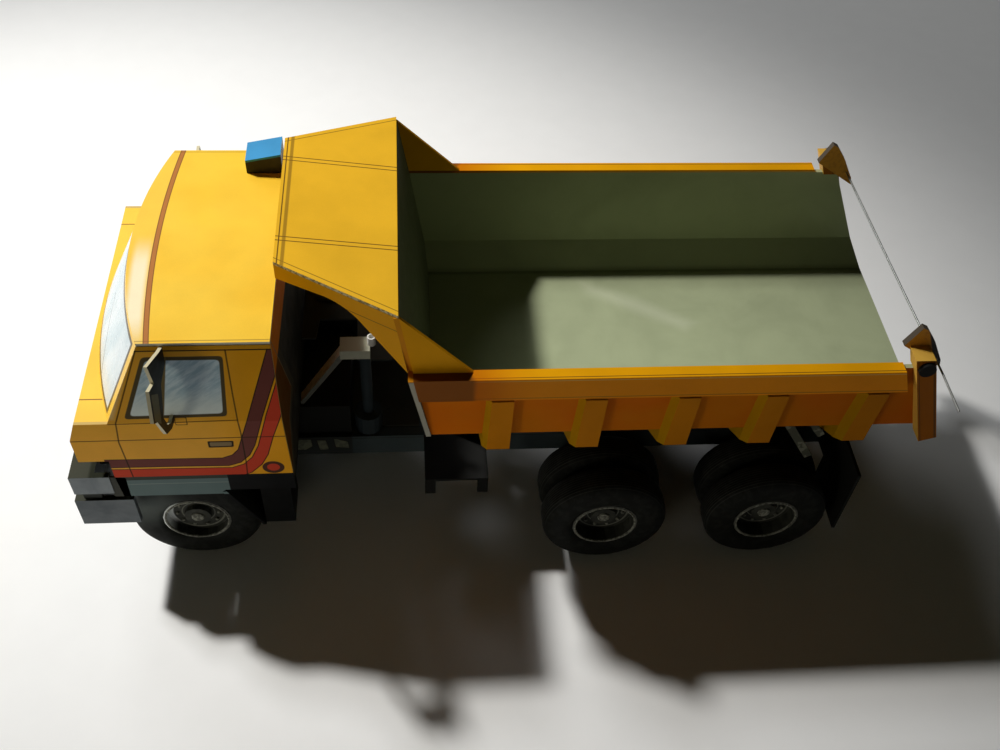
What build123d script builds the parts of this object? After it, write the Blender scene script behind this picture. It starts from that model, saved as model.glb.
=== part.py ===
from build123d import *
import math
import os

# Card model of a forward-control 6x6 tipper at 1:32, in millimetres.
# +X points forward, +Y to the left side, +Z up from the surface that the tyres stand on.

# Stock that the model is cut from
card = 0.8
board = 1.2
wire_r = 0.25
pin_r = 1.5
run_fit = 0.05
joint_gap = 0.4

# Wheels
wheel_r = 17.0
rim_r = 8.8
tyre_w = 9.0
twin_space = 1.6
front_wheel_outer_y = 33.4
rear_wheel_outer_y = 39.0
frame_half_w = 15.0

# Places along the model: the cab is laid out from its rear, the bed from the rearmost axle
cab_rear_low_x = 53.9
cab_back_lean = 1.5
step_set = 1.6
step_l = 7.6
guard_gap = 1.4
guard_run = 7.4
cab_overhang = 2.7
rear_axle_2_x = -72.6
bogie_l = 45.1
flap_gap = 4.1
frame_tail = 2.3
hinge_set = 8.7
tail_overhang = 10.2

cab_rear_top_x = cab_rear_low_x + cab_back_lean
guard_rear_x = cab_rear_low_x + step_set + step_l + card
arch_rear_x = guard_rear_x + guard_run
front_axle_x = guard_rear_x + guard_gap + wheel_r
ledge_front_x = front_axle_x + wheel_r + cab_overhang
rear_axle_1_x = rear_axle_2_x + bogie_l
flap_x = rear_axle_2_x - wheel_r - flap_gap
frame_rear_x = flap_x - frame_tail
hinge_x = flap_x + hinge_set
rear_top_x = hinge_x - tail_overhang

# Heights: each one stands on the one before it
saddle_h = 4.0
frame_h = 7.5
bed_lift = 10.5
sill_h = 9.8
foot_h = 5.7
wall_h = 29.5
canopy_h = 17.7
canopy_rise_h = 3.5
arch_gap = 2.6
guard_fold_h = 1.6
floor_rise = 2.6
body_rise = 6.5
recess_h = 6.6
crease_h = 8.2
waist_h = 6.1
window_h = 22.3

frame_bottom_z = wheel_r + saddle_h
frame_top_z = frame_bottom_z + frame_h
sill_bottom_z = frame_top_z + bed_lift
floor_top_z = sill_bottom_z + sill_h + board
foot_z = floor_top_z + foot_h
rail_top_z = floor_top_z + wall_h
canopy_rear_z = rail_top_z + canopy_h
canopy_front_z = canopy_rear_z + canopy_rise_h
arch_bottom_z = 2 * wheel_r + arch_gap
cab_sill_bottom_z = arch_bottom_z + guard_fold_h
cab_floor_top_z = cab_sill_bottom_z + floor_rise
cab_body_bottom_z = cab_sill_bottom_z + body_rise
nose_bottom_z = cab_body_bottom_z + recess_h
crease_z = nose_bottom_z + crease_h
cab_waist_z = crease_z + waist_h
cab_roof_z = cab_waist_z + window_h

# Cab
cab_half_w = 38.3
cab_tumble = 4.4
ledge_side_l = 7.6
screen_rake = 10.1
screen_bow = 6.8
roof_bow = 6.0
crease_out = 2.2
recess_depth = 7.1
arch_set = 0.6
guard_bottom_z = 22.0
guard_inner_y = 24.5

cab_roof_half_w = cab_half_w - cab_tumble
pillar_foot_x = ledge_front_x - ledge_side_l
roof_front_x = pillar_foot_x - screen_rake
crease_x = ledge_front_x + crease_out
recess_x = crease_x - recess_depth
arch_front_x = recess_x - arch_set

# Bumper
bumper_out = 4.7
bumper_over = 0.2
bumper_bar = 6.0
bumper_low_bottom_z = 25.0
bumper_low_h = 10.3
bumper_neck_h = 2.9
bumper_up_h = 6.8
bumper_step = 0.7
bumper_low_side_l = 14.4
bumper_up_side_l = 9.7
bumper_side_w = 1.6
stay_l = 2.9

bumper_half_w = cab_half_w + bumper_over
bumper_low_front_x = crease_x + bumper_out
bumper_up_front_x = bumper_low_front_x - bumper_step
frame_front_x = bumper_low_front_x - bumper_bar - stay_l

# Bed
floor_half_w = 27.2
foot_w = 7.0
wall_flare = 1.7
rail_w = 3.2
rail_h = 7.3
front_top_x = 24.1
front_lean = 0.17
rear_rake = 0.45

foot_half_w = floor_half_w + foot_w
rail_inner_y = foot_half_w + wall_flare
rail_outer_y = rail_inner_y + rail_w
rail_bottom_z = rail_top_z - rail_h
skirt_bottom_z = foot_z - board / 2

os.makedirs("parts", exist_ok=True)


def save(part, name):
    part.label = name
    export_step(part, f"parts/{name}.step")


def side_plane(y):
    """Plane seen from the right side: local x runs forward and local y up."""
    return Plane(origin=(0, y, 0), x_dir=(1, 0, 0), z_dir=(0, -1, 0))


def section_plane(x):
    """Cross-section plane: local x runs to the left side and local y up."""
    return Plane(origin=(x, 0, 0), x_dir=(0, 1, 0), z_dir=(1, 0, 0))


def level_plane(z):
    return Plane(origin=(0, 0, z), x_dir=(1, 0, 0), z_dir=(0, 0, 1))


def front_x(z):
    """Face of the bed's front wall at a height."""
    return front_top_x + front_lean * (z - rail_top_z)


def rear_x(z):
    """Rear end of the bed's walls at a height."""
    return rear_top_x + rear_rake * (z - rail_top_z)


def cab_rear_x(z):
    lean = cab_back_lean / (cab_roof_z - cab_sill_bottom_z)
    return cab_rear_low_x + lean * (z - cab_sill_bottom_z)


def cab_side_y(z):
    """Outer face of the cab's side: upright to the waist, leaning in above it."""
    return cab_half_w - cab_tumble / window_h * max(0.0, z - cab_waist_z)


def round_points(centre, flat_r, facet_w):
    """Regular outline round a centre, with a flat at its foot and facets near a width."""
    count = round(2 * math.pi * flat_r / facet_w)
    step = 2 * math.pi / count
    corner_r = flat_r / math.cos(step / 2)
    return [
        (
            centre[0] + corner_r * math.sin(step * (place + 0.5)),
            centre[1] - corner_r * math.cos(step * (place + 0.5)),
        )
        for place in range(count)
    ]


# Wheels: name, axle, outer face of the outer tyre, whether there are two tyres, set-back of the disc
wheel_table = [
    ("front", front_axle_x, front_wheel_outer_y, False, 3.0),
    ("rear_1", rear_axle_1_x, rear_wheel_outer_y, True, 4.6),
    ("rear_2", rear_axle_2_x, rear_wheel_outer_y, True, 4.6),
]
shoulder = 1.3
tread_facet_w = 2.543
rim_facet_w = 2.76
hub_r = 3.4
hub_facet_w = 1.78
hub_out_l = 1.5
hub_in_l = 3.0
rim_wall = 0.8
rim_set_back = 0.5
pin_end_gap = 0.4


def wheel_inner_y(outer_y, twin):
    return outer_y - tyre_w - (tyre_w + twin_space if twin else 0)


for axle_name, axle_x, outer_y, twin, disc_depth in wheel_table:
    inner_y = wheel_inner_y(outer_y, twin)
    hub = (axle_x, wheel_r)
    tyre_ys = (outer_y, inner_y + tyre_w) if twin else (outer_y,)
    disc_y = outer_y - disc_depth
    for side_name, side in (("left", 1), ("right", -1)):
        with BuildPart() as tyres:
            for tyre_y in tyre_ys:
                for y, flat_r in (
                    (tyre_y - tyre_w, wheel_r - shoulder),
                    (tyre_y - tyre_w + shoulder, wheel_r),
                    (tyre_y - shoulder, wheel_r),
                    (tyre_y, wheel_r - shoulder),
                ):
                    facet_w = tread_facet_w * flat_r / wheel_r
                    with BuildSketch(side_plane(side * y)):
                        with BuildLine():
                            Polyline(*round_points(hub, flat_r, facet_w), close=True)
                        make_face()
                loft(ruled=True)
            with BuildSketch(side_plane(side * outer_y)):
                with BuildLine():
                    Polyline(*round_points(hub, rim_r, rim_facet_w), close=True)
                make_face()
            extrude(amount=side * (outer_y - inner_y), mode=Mode.SUBTRACT)
        save(tyres.part, f"tyre_{axle_name}_{side_name}")

        with BuildPart() as rim:
            with BuildSketch(side_plane(side * (outer_y - rim_set_back))):
                with BuildLine():
                    Polyline(*round_points(hub, rim_r, rim_facet_w), close=True)
                make_face()
                with BuildLine():
                    Polyline(*round_points(hub, rim_r - rim_wall, rim_facet_w), close=True)
                make_face(mode=Mode.SUBTRACT)
            extrude(amount=side * (outer_y - inner_y - 2 * rim_set_back))
            with BuildSketch(side_plane(side * disc_y)):
                with BuildLine():
                    Polyline(*round_points(hub, rim_r - rim_wall / 2, rim_facet_w), close=True)
                make_face()
            extrude(amount=side * card)
            with BuildSketch(side_plane(side * (disc_y + hub_out_l))):
                with BuildLine():
                    Polyline(*round_points(hub, hub_r, hub_facet_w), close=True)
                make_face()
            extrude(amount=side * (hub_out_l + card + hub_in_l))
            with BuildSketch(side_plane(side * disc_y)):
                with Locations(hub):
                    Circle(pin_r + run_fit)
            extrude(amount=side * (card + hub_in_l), mode=Mode.SUBTRACT)
        save(rim.part, f"rim_{axle_name}_{side_name}")

# Axles: a square folded beam with a housing at the backbone, saddles under the frame and end pins
axle_tube_r = 2.6
housing_r = 5.0
saddle_l = 5.0
saddle_w = 1.5
pin_shoulder_gap = 0.5
for axle_name, axle_x, outer_y, twin, disc_depth in wheel_table:
    pin_end_y = outer_y - disc_depth - pin_end_gap
    tube_end_y = wheel_inner_y(outer_y, twin) - pin_shoulder_gap
    with BuildPart() as axle:
        for half_size, end_y in ((housing_r, housing_r), (axle_tube_r, tube_end_y)):
            with BuildSketch(side_plane(end_y)):
                with Locations((axle_x, wheel_r)):
                    Rectangle(2 * half_size, 2 * half_size)
            extrude(amount=end_y)
        with BuildSketch(side_plane(pin_end_y)):
            with Locations((axle_x, wheel_r)):
                Circle(pin_r)
        extrude(amount=pin_end_y - tube_end_y)
        with BuildSketch(level_plane(wheel_r)):
            with Locations((axle_x, frame_half_w - saddle_w)):
                Rectangle(saddle_l, 2 * saddle_w)
        extrude(amount=frame_bottom_z - wheel_r)
        mirror(about=Plane.XZ)
    save(axle.part, f"axle_{axle_name}")

# Backbone tube between the axle housings, rolled with flat facets
backbone_r = 3.8
backbone_facet_w = 2.0
with BuildPart() as backbone:
    for rear, front in (
        (rear_axle_2_x, rear_axle_1_x),
        (rear_axle_1_x, front_axle_x),
    ):
        start_x = rear + housing_r
        with BuildSketch(section_plane(start_x)):
            with BuildLine():
                Polyline(*round_points((0, wheel_r), backbone_r, backbone_facet_w), close=True)
            make_face()
        extrude(amount=front - rear - 2 * housing_r)
save(backbone.part, "backbone_tube")

# Frame rails: channels that are open towards the middle
frame_flange = 3.0
for side_name, side in (("left", 1), ("right", -1)):
    with BuildPart() as rail:
        with BuildSketch(section_plane(frame_rear_x)):
            with BuildLine():
                Polyline(
                    (side * frame_half_w, frame_bottom_z),
                    (side * frame_half_w, frame_top_z),
                    (side * (frame_half_w - frame_flange), frame_top_z),
                    (side * (frame_half_w - frame_flange), frame_top_z - card),
                    (side * (frame_half_w - card), frame_top_z - card),
                    (side * (frame_half_w - card), frame_bottom_z + card),
                    (side * (frame_half_w - frame_flange), frame_bottom_z + card),
                    (side * (frame_half_w - frame_flange), frame_bottom_z),
                    close=True,
                )
            make_face()
        extrude(amount=frame_front_x - frame_rear_x)
    save(rail.part, f"frame_rail_{side_name}")

# Cross members, placed by their share of the frame's length from its rear end
cross_member_l = 4.0
cross_member_shares = (0.015, 0.235, 0.465, 0.65, 0.8, 0.975)
with BuildPart() as cross_members:
    for share in cross_member_shares:
        middle_x = frame_rear_x + share * (frame_front_x - frame_rear_x)
        with BuildSketch(section_plane(middle_x - cross_member_l / 2)):
            with Locations((0, frame_bottom_z + frame_h / 2)):
                Rectangle(2 * (frame_half_w - card), frame_h - 2 * card)
        extrude(amount=cross_member_l)
save(cross_members.part, "frame_cross_members")

# Engine, closed in under the cab floor, as one block that stands on the frame
engine_behind_cab = 12.9
engine_l = 34.0
engine_half_w = 13.5
engine_rear_x = cab_rear_low_x - engine_behind_cab
with BuildPart() as engine:
    with BuildSketch(level_plane(frame_top_z)):
        with Locations((engine_rear_x + engine_l / 2, 0)):
            Rectangle(engine_l, 2 * engine_half_w)
    extrude(amount=cab_floor_top_z - card - frame_top_z)
save(engine.part, "engine_block")

# Rest on the frame that carries the front of the bed
rest_gap = 0.3
rest_set = 14.1
rest_l = 6.0
with BuildPart() as rest:
    with BuildSketch(level_plane(frame_top_z)):
        with Locations((front_top_x - rest_set, 0)):
            Rectangle(rest_l, 2 * frame_half_w)
    extrude(amount=sill_bottom_z - rest_gap - frame_top_z)
save(rest.part, "bed_rest")

# Brackets at the rear of the frame that hold the bed's hinge pin
hinge_r = 1.2
hinge_up = 3.0
hinge_z = sill_bottom_z + hinge_up
sill_outer_y = 11.6
sill_w = 2.0
bracket_foot_l = 17.0
bracket_head_r = 3.2
bracket_facet_w = 1.7
with BuildPart() as brackets:
    with BuildSketch(side_plane(-sill_outer_y - joint_gap)):
        with BuildLine():
            Polyline(
                (hinge_x - bracket_head_r, hinge_z),
                (hinge_x - bracket_foot_l / 2, frame_top_z),
                (hinge_x + bracket_foot_l / 2, frame_top_z),
                (hinge_x + bracket_head_r, hinge_z),
                close=True,
            )
        make_face()
        with BuildLine():
            Polyline(*round_points((hinge_x, hinge_z), bracket_head_r, bracket_facet_w), close=True)
        make_face()
        with Locations((hinge_x, hinge_z)):
            Circle(hinge_r, mode=Mode.SUBTRACT)
    extrude(amount=frame_half_w - sill_outer_y - joint_gap)
    mirror(about=Plane.XZ)
save(brackets.part, "hinge_brackets")

with BuildPart() as hinge_pin:
    with BuildSketch(side_plane(-frame_half_w)):
        with Locations((hinge_x, hinge_z)):
            Circle(hinge_r)
    extrude(amount=-2 * frame_half_w)
save(hinge_pin.part, "hinge_pin")

# Cab sides
for side_name, side in (("left", 1), ("right", -1)):
    with BuildPart() as cab_side:
        with BuildSketch(section_plane(cab_rear_low_x)):
            with BuildLine():
                Polyline(
                    (side * cab_half_w, cab_body_bottom_z),
                    (side * cab_half_w, cab_waist_z),
                    (side * cab_side_y(cab_roof_z - card), cab_roof_z - card),
                    (side * (cab_side_y(cab_roof_z - card) - card), cab_roof_z - card),
                    (side * (cab_half_w - card), cab_waist_z),
                    (side * (cab_half_w - card), cab_body_bottom_z),
                    close=True,
                )
            make_face()
        extrude(amount=crease_x - cab_rear_low_x)
        with BuildSketch(side_plane(0)):
            with BuildLine():
                Polyline(
                    (cab_rear_x(cab_body_bottom_z), cab_body_bottom_z),
                    (cab_rear_x(cab_roof_z - card), cab_roof_z - card),
                    (roof_front_x, cab_roof_z - card),
                    (pillar_foot_x, cab_waist_z),
                    (ledge_front_x, cab_waist_z),
                    (crease_x, crease_z),
                    (crease_x, nose_bottom_z),
                    (recess_x, nose_bottom_z),
                    (recess_x, cab_body_bottom_z),
                    close=True,
                )
            make_face()
        extrude(amount=2 * cab_half_w, both=True, mode=Mode.INTERSECT)
    save(cab_side.part, f"cab_side_{side_name}")

# Cab roof with its bowed front edge
with BuildPart() as roof:
    with BuildSketch(level_plane(cab_roof_z - card)):
        with BuildLine():
            Polyline(
                (roof_front_x, cab_roof_half_w),
                (cab_rear_top_x, cab_roof_half_w),
                (cab_rear_top_x, -cab_roof_half_w),
                (roof_front_x, -cab_roof_half_w),
            )
            ThreePointArc(
                (roof_front_x, -cab_roof_half_w),
                (roof_front_x + roof_bow, 0),
                (roof_front_x, cab_roof_half_w),
            )
        make_face()
    extrude(amount=card)
save(roof.part, "cab_roof")

# Windscreen: one curved card between the ledge and the roof
screen_top_z = cab_roof_z - card
screen_top_y = cab_side_y(screen_top_z) - card
screen_foot_y = cab_half_w - card
with BuildPart() as windscreen:
    for z, chord_x, half, bow in (
        (cab_waist_z, pillar_foot_x, screen_foot_y, screen_bow),
        (screen_top_z, roof_front_x, screen_top_y, roof_bow),
    ):
        with BuildSketch(level_plane(z)):
            with BuildLine():
                ThreePointArc((chord_x, half), (chord_x + bow, 0), (chord_x, -half))
                Line((chord_x, -half), (chord_x - card, -half))
                ThreePointArc(
                    (chord_x - card, -half), (chord_x + bow - card, 0), (chord_x - card, half)
                )
                Line((chord_x - card, half), (chord_x, half))
            make_face()
    loft()
save(windscreen.part, "windscreen")

# Nose: ledge below the windscreen, creased front panel and the lamp recess
nose_half_w = cab_half_w - card
with BuildPart() as nose:
    with BuildSketch(level_plane(cab_waist_z)):
        with BuildLine():
            Polyline(
                (pillar_foot_x - card, -nose_half_w),
                (ledge_front_x, -nose_half_w),
                (ledge_front_x, nose_half_w),
                (pillar_foot_x - card, nose_half_w),
            )
            ThreePointArc(
                (pillar_foot_x - card, nose_half_w),
                (pillar_foot_x + screen_bow - card, 0),
                (pillar_foot_x - card, -nose_half_w),
            )
        make_face()
    extrude(amount=-card)
    with BuildSketch(side_plane(nose_half_w)):
        with BuildLine():
            Polyline(
                (ledge_front_x, cab_waist_z),
                (crease_x, crease_z),
                (crease_x, nose_bottom_z),
                (recess_x, nose_bottom_z),
                (recess_x, cab_floor_top_z),
                (recess_x - card, cab_floor_top_z),
                (recess_x - card, nose_bottom_z + card),
                (crease_x - card, nose_bottom_z + card),
                (crease_x - card, crease_z),
                (ledge_front_x - card, cab_waist_z - card),
                (ledge_front_x - card, cab_waist_z),
                close=True,
            )
        make_face()
    extrude(amount=2 * nose_half_w)
save(nose.part, "cab_nose")

# Cab back wall, in the plane that leans with the rear edges of the sides
with BuildPart() as cab_back:
    with BuildSketch(side_plane(-cab_half_w)):
        with BuildLine():
            Polyline(
                (cab_rear_x(cab_floor_top_z), cab_floor_top_z),
                (cab_rear_x(cab_roof_z - card), cab_roof_z - card),
                (cab_rear_x(cab_roof_z - card) + card, cab_roof_z - card),
                (cab_rear_x(cab_floor_top_z) + card, cab_floor_top_z),
                close=True,
            )
        make_face()
    extrude(amount=-2 * cab_half_w)
    with BuildSketch(section_plane(0)):
        with BuildLine():
            Polyline(
                (cab_half_w - card, cab_floor_top_z),
                (cab_half_w - card, cab_waist_z),
                (screen_top_y, screen_top_z),
                (-screen_top_y, screen_top_z),
                (-(cab_half_w - card), cab_waist_z),
                (-(cab_half_w - card), cab_floor_top_z),
                close=True,
            )
        make_face()
    extrude(amount=crease_x, mode=Mode.INTERSECT)
save(cab_back.part, "cab_back")

with BuildPart() as cab_floor:
    with BuildSketch(level_plane(cab_floor_top_z - card)):
        with Locations(((cab_rear_low_x + recess_x) / 2, 0)):
            Rectangle(recess_x - cab_rear_low_x, 2 * (cab_half_w - card))
    extrude(amount=card)
save(cab_floor.part, "cab_floor")

# Skirts below the cab sides, with the mudguard over each front wheel
guard_fold_l = 2.0
for side_name, side in (("left", 1), ("right", -1)):
    with BuildPart() as skirt:
        with BuildSketch(side_plane(side * cab_half_w)):
            with BuildLine():
                Polyline(
                    (cab_rear_x(cab_sill_bottom_z), cab_sill_bottom_z),
                    (cab_rear_x(cab_body_bottom_z), cab_body_bottom_z),
                    (recess_x, cab_body_bottom_z),
                    (arch_front_x, arch_bottom_z),
                    (arch_rear_x + guard_fold_l, arch_bottom_z),
                    (arch_rear_x, cab_sill_bottom_z),
                    close=True,
                )
            make_face()
        extrude(amount=side * card)
        with BuildSketch(side_plane(side * cab_half_w)):
            with BuildLine():
                Polyline(
                    (arch_front_x, arch_bottom_z),
                    (arch_front_x, arch_bottom_z + card),
                    (arch_rear_x, arch_bottom_z + card),
                    (guard_rear_x - card, guard_bottom_z),
                    (guard_rear_x, guard_bottom_z),
                    (arch_rear_x + card, arch_bottom_z),
                    close=True,
                )
            make_face()
        extrude(amount=side * (cab_half_w - guard_inner_y))
    save(skirt.part, f"cab_skirt_{side_name}")

# Step boxes behind the front wheels
step_w = 10.5
step_front_x = guard_rear_x - card
with BuildPart() as steps:
    with BuildSketch(level_plane(guard_bottom_z)):
        with Locations((step_front_x - step_l / 2, cab_half_w - card - step_w / 2)):
            Rectangle(step_l, step_w)
    extrude(amount=cab_floor_top_z - card - guard_bottom_z)
    mirror(about=Plane.XZ)
save(steps.part, "cab_steps")


def bumper_points(front, side_l):
    """Bar across the front with a short return along each side."""
    return [
        (front, bumper_half_w),
        (front, -bumper_half_w),
        (front - side_l, -bumper_half_w),
        (front - side_l, -bumper_half_w + bumper_side_w),
        (front - bumper_bar, -bumper_half_w + bumper_side_w),
        (front - bumper_bar, bumper_half_w - bumper_side_w),
        (front - side_l, bumper_half_w - bumper_side_w),
        (front - side_l, bumper_half_w),
    ]


# Bumper in two tiers, with a narrower neck between them
bumper_neck_set_back = 1.6
bumper_low_top_z = bumper_low_bottom_z + bumper_low_h
bumper_up_bottom_z = bumper_low_top_z + bumper_neck_h
with BuildPart() as bumper:
    with BuildSketch(level_plane(bumper_low_bottom_z)):
        with BuildLine():
            Polyline(*bumper_points(bumper_low_front_x, bumper_low_side_l), close=True)
        make_face()
    extrude(amount=bumper_low_h)
    with BuildSketch(level_plane(bumper_low_top_z)):
        with Locations((bumper_up_front_x - bumper_bar / 2 - bumper_neck_set_back / 2, 0)):
            Rectangle(bumper_bar - bumper_neck_set_back, 2 * bumper_half_w - bumper_side_w)
    extrude(amount=bumper_neck_h)
    with BuildSketch(level_plane(bumper_up_bottom_z)):
        with BuildLine():
            Polyline(*bumper_points(bumper_up_front_x, bumper_up_side_l), close=True)
        make_face()
    extrude(amount=bumper_up_h)
save(bumper.part, "bumper")

# Brackets from the frame ends to the bumper's back
stay_w = 6.0
stay_h = 3.0
with BuildPart() as bumper_stays:
    with BuildSketch(section_plane(frame_front_x)):
        with Locations((frame_half_w - stay_w / 2, frame_top_z - stay_h / 2)):
            Rectangle(stay_w, stay_h)
    extrude(amount=stay_l)
    mirror(about=Plane.XZ)
save(bumper_stays.part, "bumper_stays")

# Lamps that hang in the recess above the bumper
lamp_in = 10.3
lamp_w = 13.0
lamp_h = 5.4
lamp_l = 4.0
lamp_drop = 0.6
with BuildPart() as lamps:
    with BuildSketch(section_plane(recess_x)):
        with Locations((cab_half_w - lamp_in, nose_bottom_z - lamp_drop - lamp_h / 2)):
            Rectangle(lamp_w, lamp_h)
    extrude(amount=lamp_l)
    mirror(about=Plane.XZ)
save(lamps.part, "headlamps")

# Mirrors: one folded card each, with the mirror plate between its two arms
# Outlines: outwards from the root, height over the waist
mirror_set = 23.15
mirror_in = 2.3
mirror_lean = 6.0
left_mirror_outline = [
    (-4.0, 20.6),
    (0.2, 22.1),
    (7.9, 25.8),
    (6.9, 19.4),
    (10.2, 20.5),
    (12.3, 12.2),
    (10.5, 10.5),
    (7.8, 2.8),
    (4.6, 0.7),
    (1.0, 0.6),
    (1.0, 2.4),
    (4.2, 2.4),
    (6.0, 4.0),
    (7.1, 7.8),
    (3.6, 15.4),
    (-4.0, 17.8),
]
right_mirror_outline = [
    (-4.0, 18.2),
    (0.2, 19.6),
    (5.0, 18.4),
    (5.4, 15.0),
    (8.4, 14.4),
    (12.3, 6.4),
    (10.6, 5.0),
    (8.2, 1.4),
    (4.8, -0.2),
    (1.0, 0.4),
    (1.0, 2.2),
    (4.2, 1.8),
    (6.2, 3.0),
    (7.0, 5.6),
    (3.6, 11.8),
    (-4.0, 15.0),
]
mirror_rise = math.radians(mirror_lean)
with BuildPart() as mirrors:
    for side, outline in ((1, left_mirror_outline), (-1, right_mirror_outline)):
        mirror_plane = Plane(
            origin=(ledge_front_x - mirror_set, side * (cab_half_w - mirror_in), cab_waist_z),
            x_dir=(math.sin(mirror_rise), side * math.cos(mirror_rise), 0),
            z_dir=(side * math.cos(mirror_rise), -math.sin(mirror_rise), 0),
        )
        with BuildSketch(mirror_plane):
            with BuildLine():
                Polyline(*outline, close=True)
            make_face()
        extrude(amount=side * card)
    with BuildSketch(section_plane(cab_rear_low_x)):
        with BuildLine():
            Polyline(
                (cab_half_w, cab_floor_top_z),
                (cab_half_w, cab_waist_z),
                (cab_roof_half_w, cab_roof_z),
                (-cab_roof_half_w, cab_roof_z),
                (-cab_half_w, cab_waist_z),
                (-cab_half_w, cab_floor_top_z),
                close=True,
            )
        make_face()
    extrude(amount=crease_x - cab_rear_low_x, mode=Mode.SUBTRACT)
save(mirrors.part, "mirrors")

# Lamp box on the roof, a wedge that falls towards the front
beacon_rear_x = 56.2
beacon_l = 9.0
beacon_inner_y = -24.5
beacon_w = 7.5
beacon_rear_h = 5.2
beacon_front_h = 3.3
beacon_lens_h = 0.6
beacon_front_x = beacon_rear_x + beacon_l
for name, low_rear_h, low_front_h, rear_h, front_h in (
    ("beacon_base", 0, 0, beacon_rear_h, beacon_front_h),
    (
        "beacon_lens",
        beacon_rear_h,
        beacon_front_h,
        beacon_rear_h + beacon_lens_h,
        beacon_front_h + beacon_lens_h,
    ),
):
    with BuildPart() as beacon:
        with BuildSketch(side_plane(beacon_inner_y)):
            with BuildLine():
                Polyline(
                    (beacon_rear_x, cab_roof_z + low_rear_h),
                    (beacon_rear_x, cab_roof_z + rear_h),
                    (beacon_front_x, cab_roof_z + front_h),
                    (beacon_front_x, cab_roof_z + low_front_h),
                    close=True,
                )
            make_face()
        extrude(amount=beacon_w)
    save(beacon.part, name)

# Stack behind the cab: cup on the left rail, upright tube, box at its head, slanted duct
stack_set = 17.6
stack_y = 10.8
cup_r = 3.7
cup_facet_w = 1.5
cup_h = 6.4
stack_r = 1.5
stack_h = 30.0
head_l = 7.6
head_w = 5.0
head_h = 3.0
duct_w = 3.4
duct_h = 2.0
duct_low_z = cab_floor_top_z + card
stack_x = cab_rear_low_x - stack_set
stack_top_z = frame_top_z + stack_h
with BuildPart() as cup:
    with BuildSketch(level_plane(frame_top_z)):
        with BuildLine():
            Polyline(*round_points((stack_x, stack_y), cup_r, cup_facet_w), close=True)
        make_face()
        with Locations((stack_x, stack_y)):
            Circle(stack_r, mode=Mode.SUBTRACT)
    extrude(amount=cup_h)
save(cup.part, "stack_cup")

with BuildPart() as stack:
    with BuildSketch(level_plane(frame_top_z)):
        with Locations((stack_x, stack_y)):
            Circle(stack_r)
    extrude(amount=stack_h)
save(stack.part, "stack_tube")

with BuildPart() as head:
    with BuildSketch(level_plane(stack_top_z)):
        with Locations((stack_x + head_l / 2 - stack_r, stack_y)):
            Rectangle(head_l, head_w)
    extrude(amount=head_h)
save(head.part, "stack_head")

duct_top_x = stack_x + head_l - stack_r
with BuildPart() as duct:
    with BuildSketch(side_plane(stack_y + duct_w / 2)):
        with BuildLine():
            Polyline(
                (duct_top_x, stack_top_z),
                (duct_top_x, stack_top_z + duct_h),
                (cab_rear_x(duct_low_z + duct_h), duct_low_z + duct_h),
                (cab_rear_x(duct_low_z), duct_low_z),
                close=True,
            )
        make_face()
    extrude(amount=duct_w)
save(duct.part, "stack_duct")

# Closed box behind the cab, glued to the side of the right rail
air_box_gap = 1.4
air_box_l = 14.5
air_box_w = 19.0
air_box_h = 25.0
air_box_drop = 5.5
with BuildPart() as air_box:
    with BuildSketch(level_plane(frame_top_z - air_box_drop)):
        with Locations(
            (cab_rear_low_x - air_box_gap - air_box_l / 2, -frame_half_w - air_box_w / 2)
        ):
            Rectangle(air_box_l, air_box_w)
    extrude(amount=air_box_h)
save(air_box.part, "air_box")

# Open cradles that hang from the frame between the axles
cradle_set = 2.8
cradle_l = 16.9
cradle_w = 15.0
cradle_h = 6.5
cradle_leg_w = 2.8
cradle_front_x = front_top_x - cradle_set
cradle_outer_y = frame_half_w + cradle_w
with BuildPart() as cradles:
    with BuildSketch(level_plane(frame_top_z - card)):
        with Locations((cradle_front_x - cradle_l / 2, frame_half_w + cradle_w / 2)):
            Rectangle(cradle_l, cradle_w)
    extrude(amount=card)
    for x in (cradle_front_x - cradle_l, cradle_front_x - cradle_leg_w):
        with BuildSketch(side_plane(cradle_outer_y)):
            with Locations((x + cradle_leg_w / 2, frame_top_z - cradle_h / 2)):
                Rectangle(cradle_leg_w, cradle_h)
        extrude(amount=card)
    mirror(about=Plane.XZ)
save(cradles.part, "tank_cradles")

# Mudflaps behind the rear wheels, each glued to the side of its rail
flap_inner_y = 20.0
flap_outer_y = 38.5
flap_rise = 8.4
flap_h = 25.1
flap_top_z = frame_top_z + flap_rise
flap_bottom_z = flap_top_z - flap_h
with BuildPart() as flaps:
    with BuildSketch(section_plane(flap_x)):
        with BuildLine():
            Polyline(
                (frame_half_w, frame_bottom_z),
                (frame_half_w, frame_top_z),
                (flap_inner_y, flap_top_z),
                (flap_outer_y, flap_top_z),
                (flap_outer_y, flap_bottom_z),
                (flap_inner_y, flap_bottom_z),
                (flap_inner_y, frame_bottom_z),
                close=True,
            )
        make_face()
    extrude(amount=card)
    mirror(about=Plane.XZ)
save(flaps.part, "mudflaps")

# Bed floor
with BuildPart() as bed_floor:
    with BuildSketch(side_plane(-floor_half_w)):
        with BuildLine():
            Polyline(
                (rear_x(floor_top_z), floor_top_z),
                (front_x(floor_top_z), floor_top_z),
                (front_x(floor_top_z - board), floor_top_z - board),
                (rear_x(floor_top_z - board), floor_top_z - board),
                close=True,
            )
        make_face()
    extrude(amount=-2 * floor_half_w)
save(bed_floor.part, "bed_floor")

wall_lean = (rail_inner_y - foot_half_w) / (rail_top_z - foot_z)
bed_rear_x = rear_x(floor_top_z - board)
bed_l = front_top_x - bed_rear_x


def wall_inner_y(z):
    return foot_half_w + wall_lean * (z - foot_z)


def wall_outer_y(z):
    return wall_inner_y(z) + board


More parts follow.
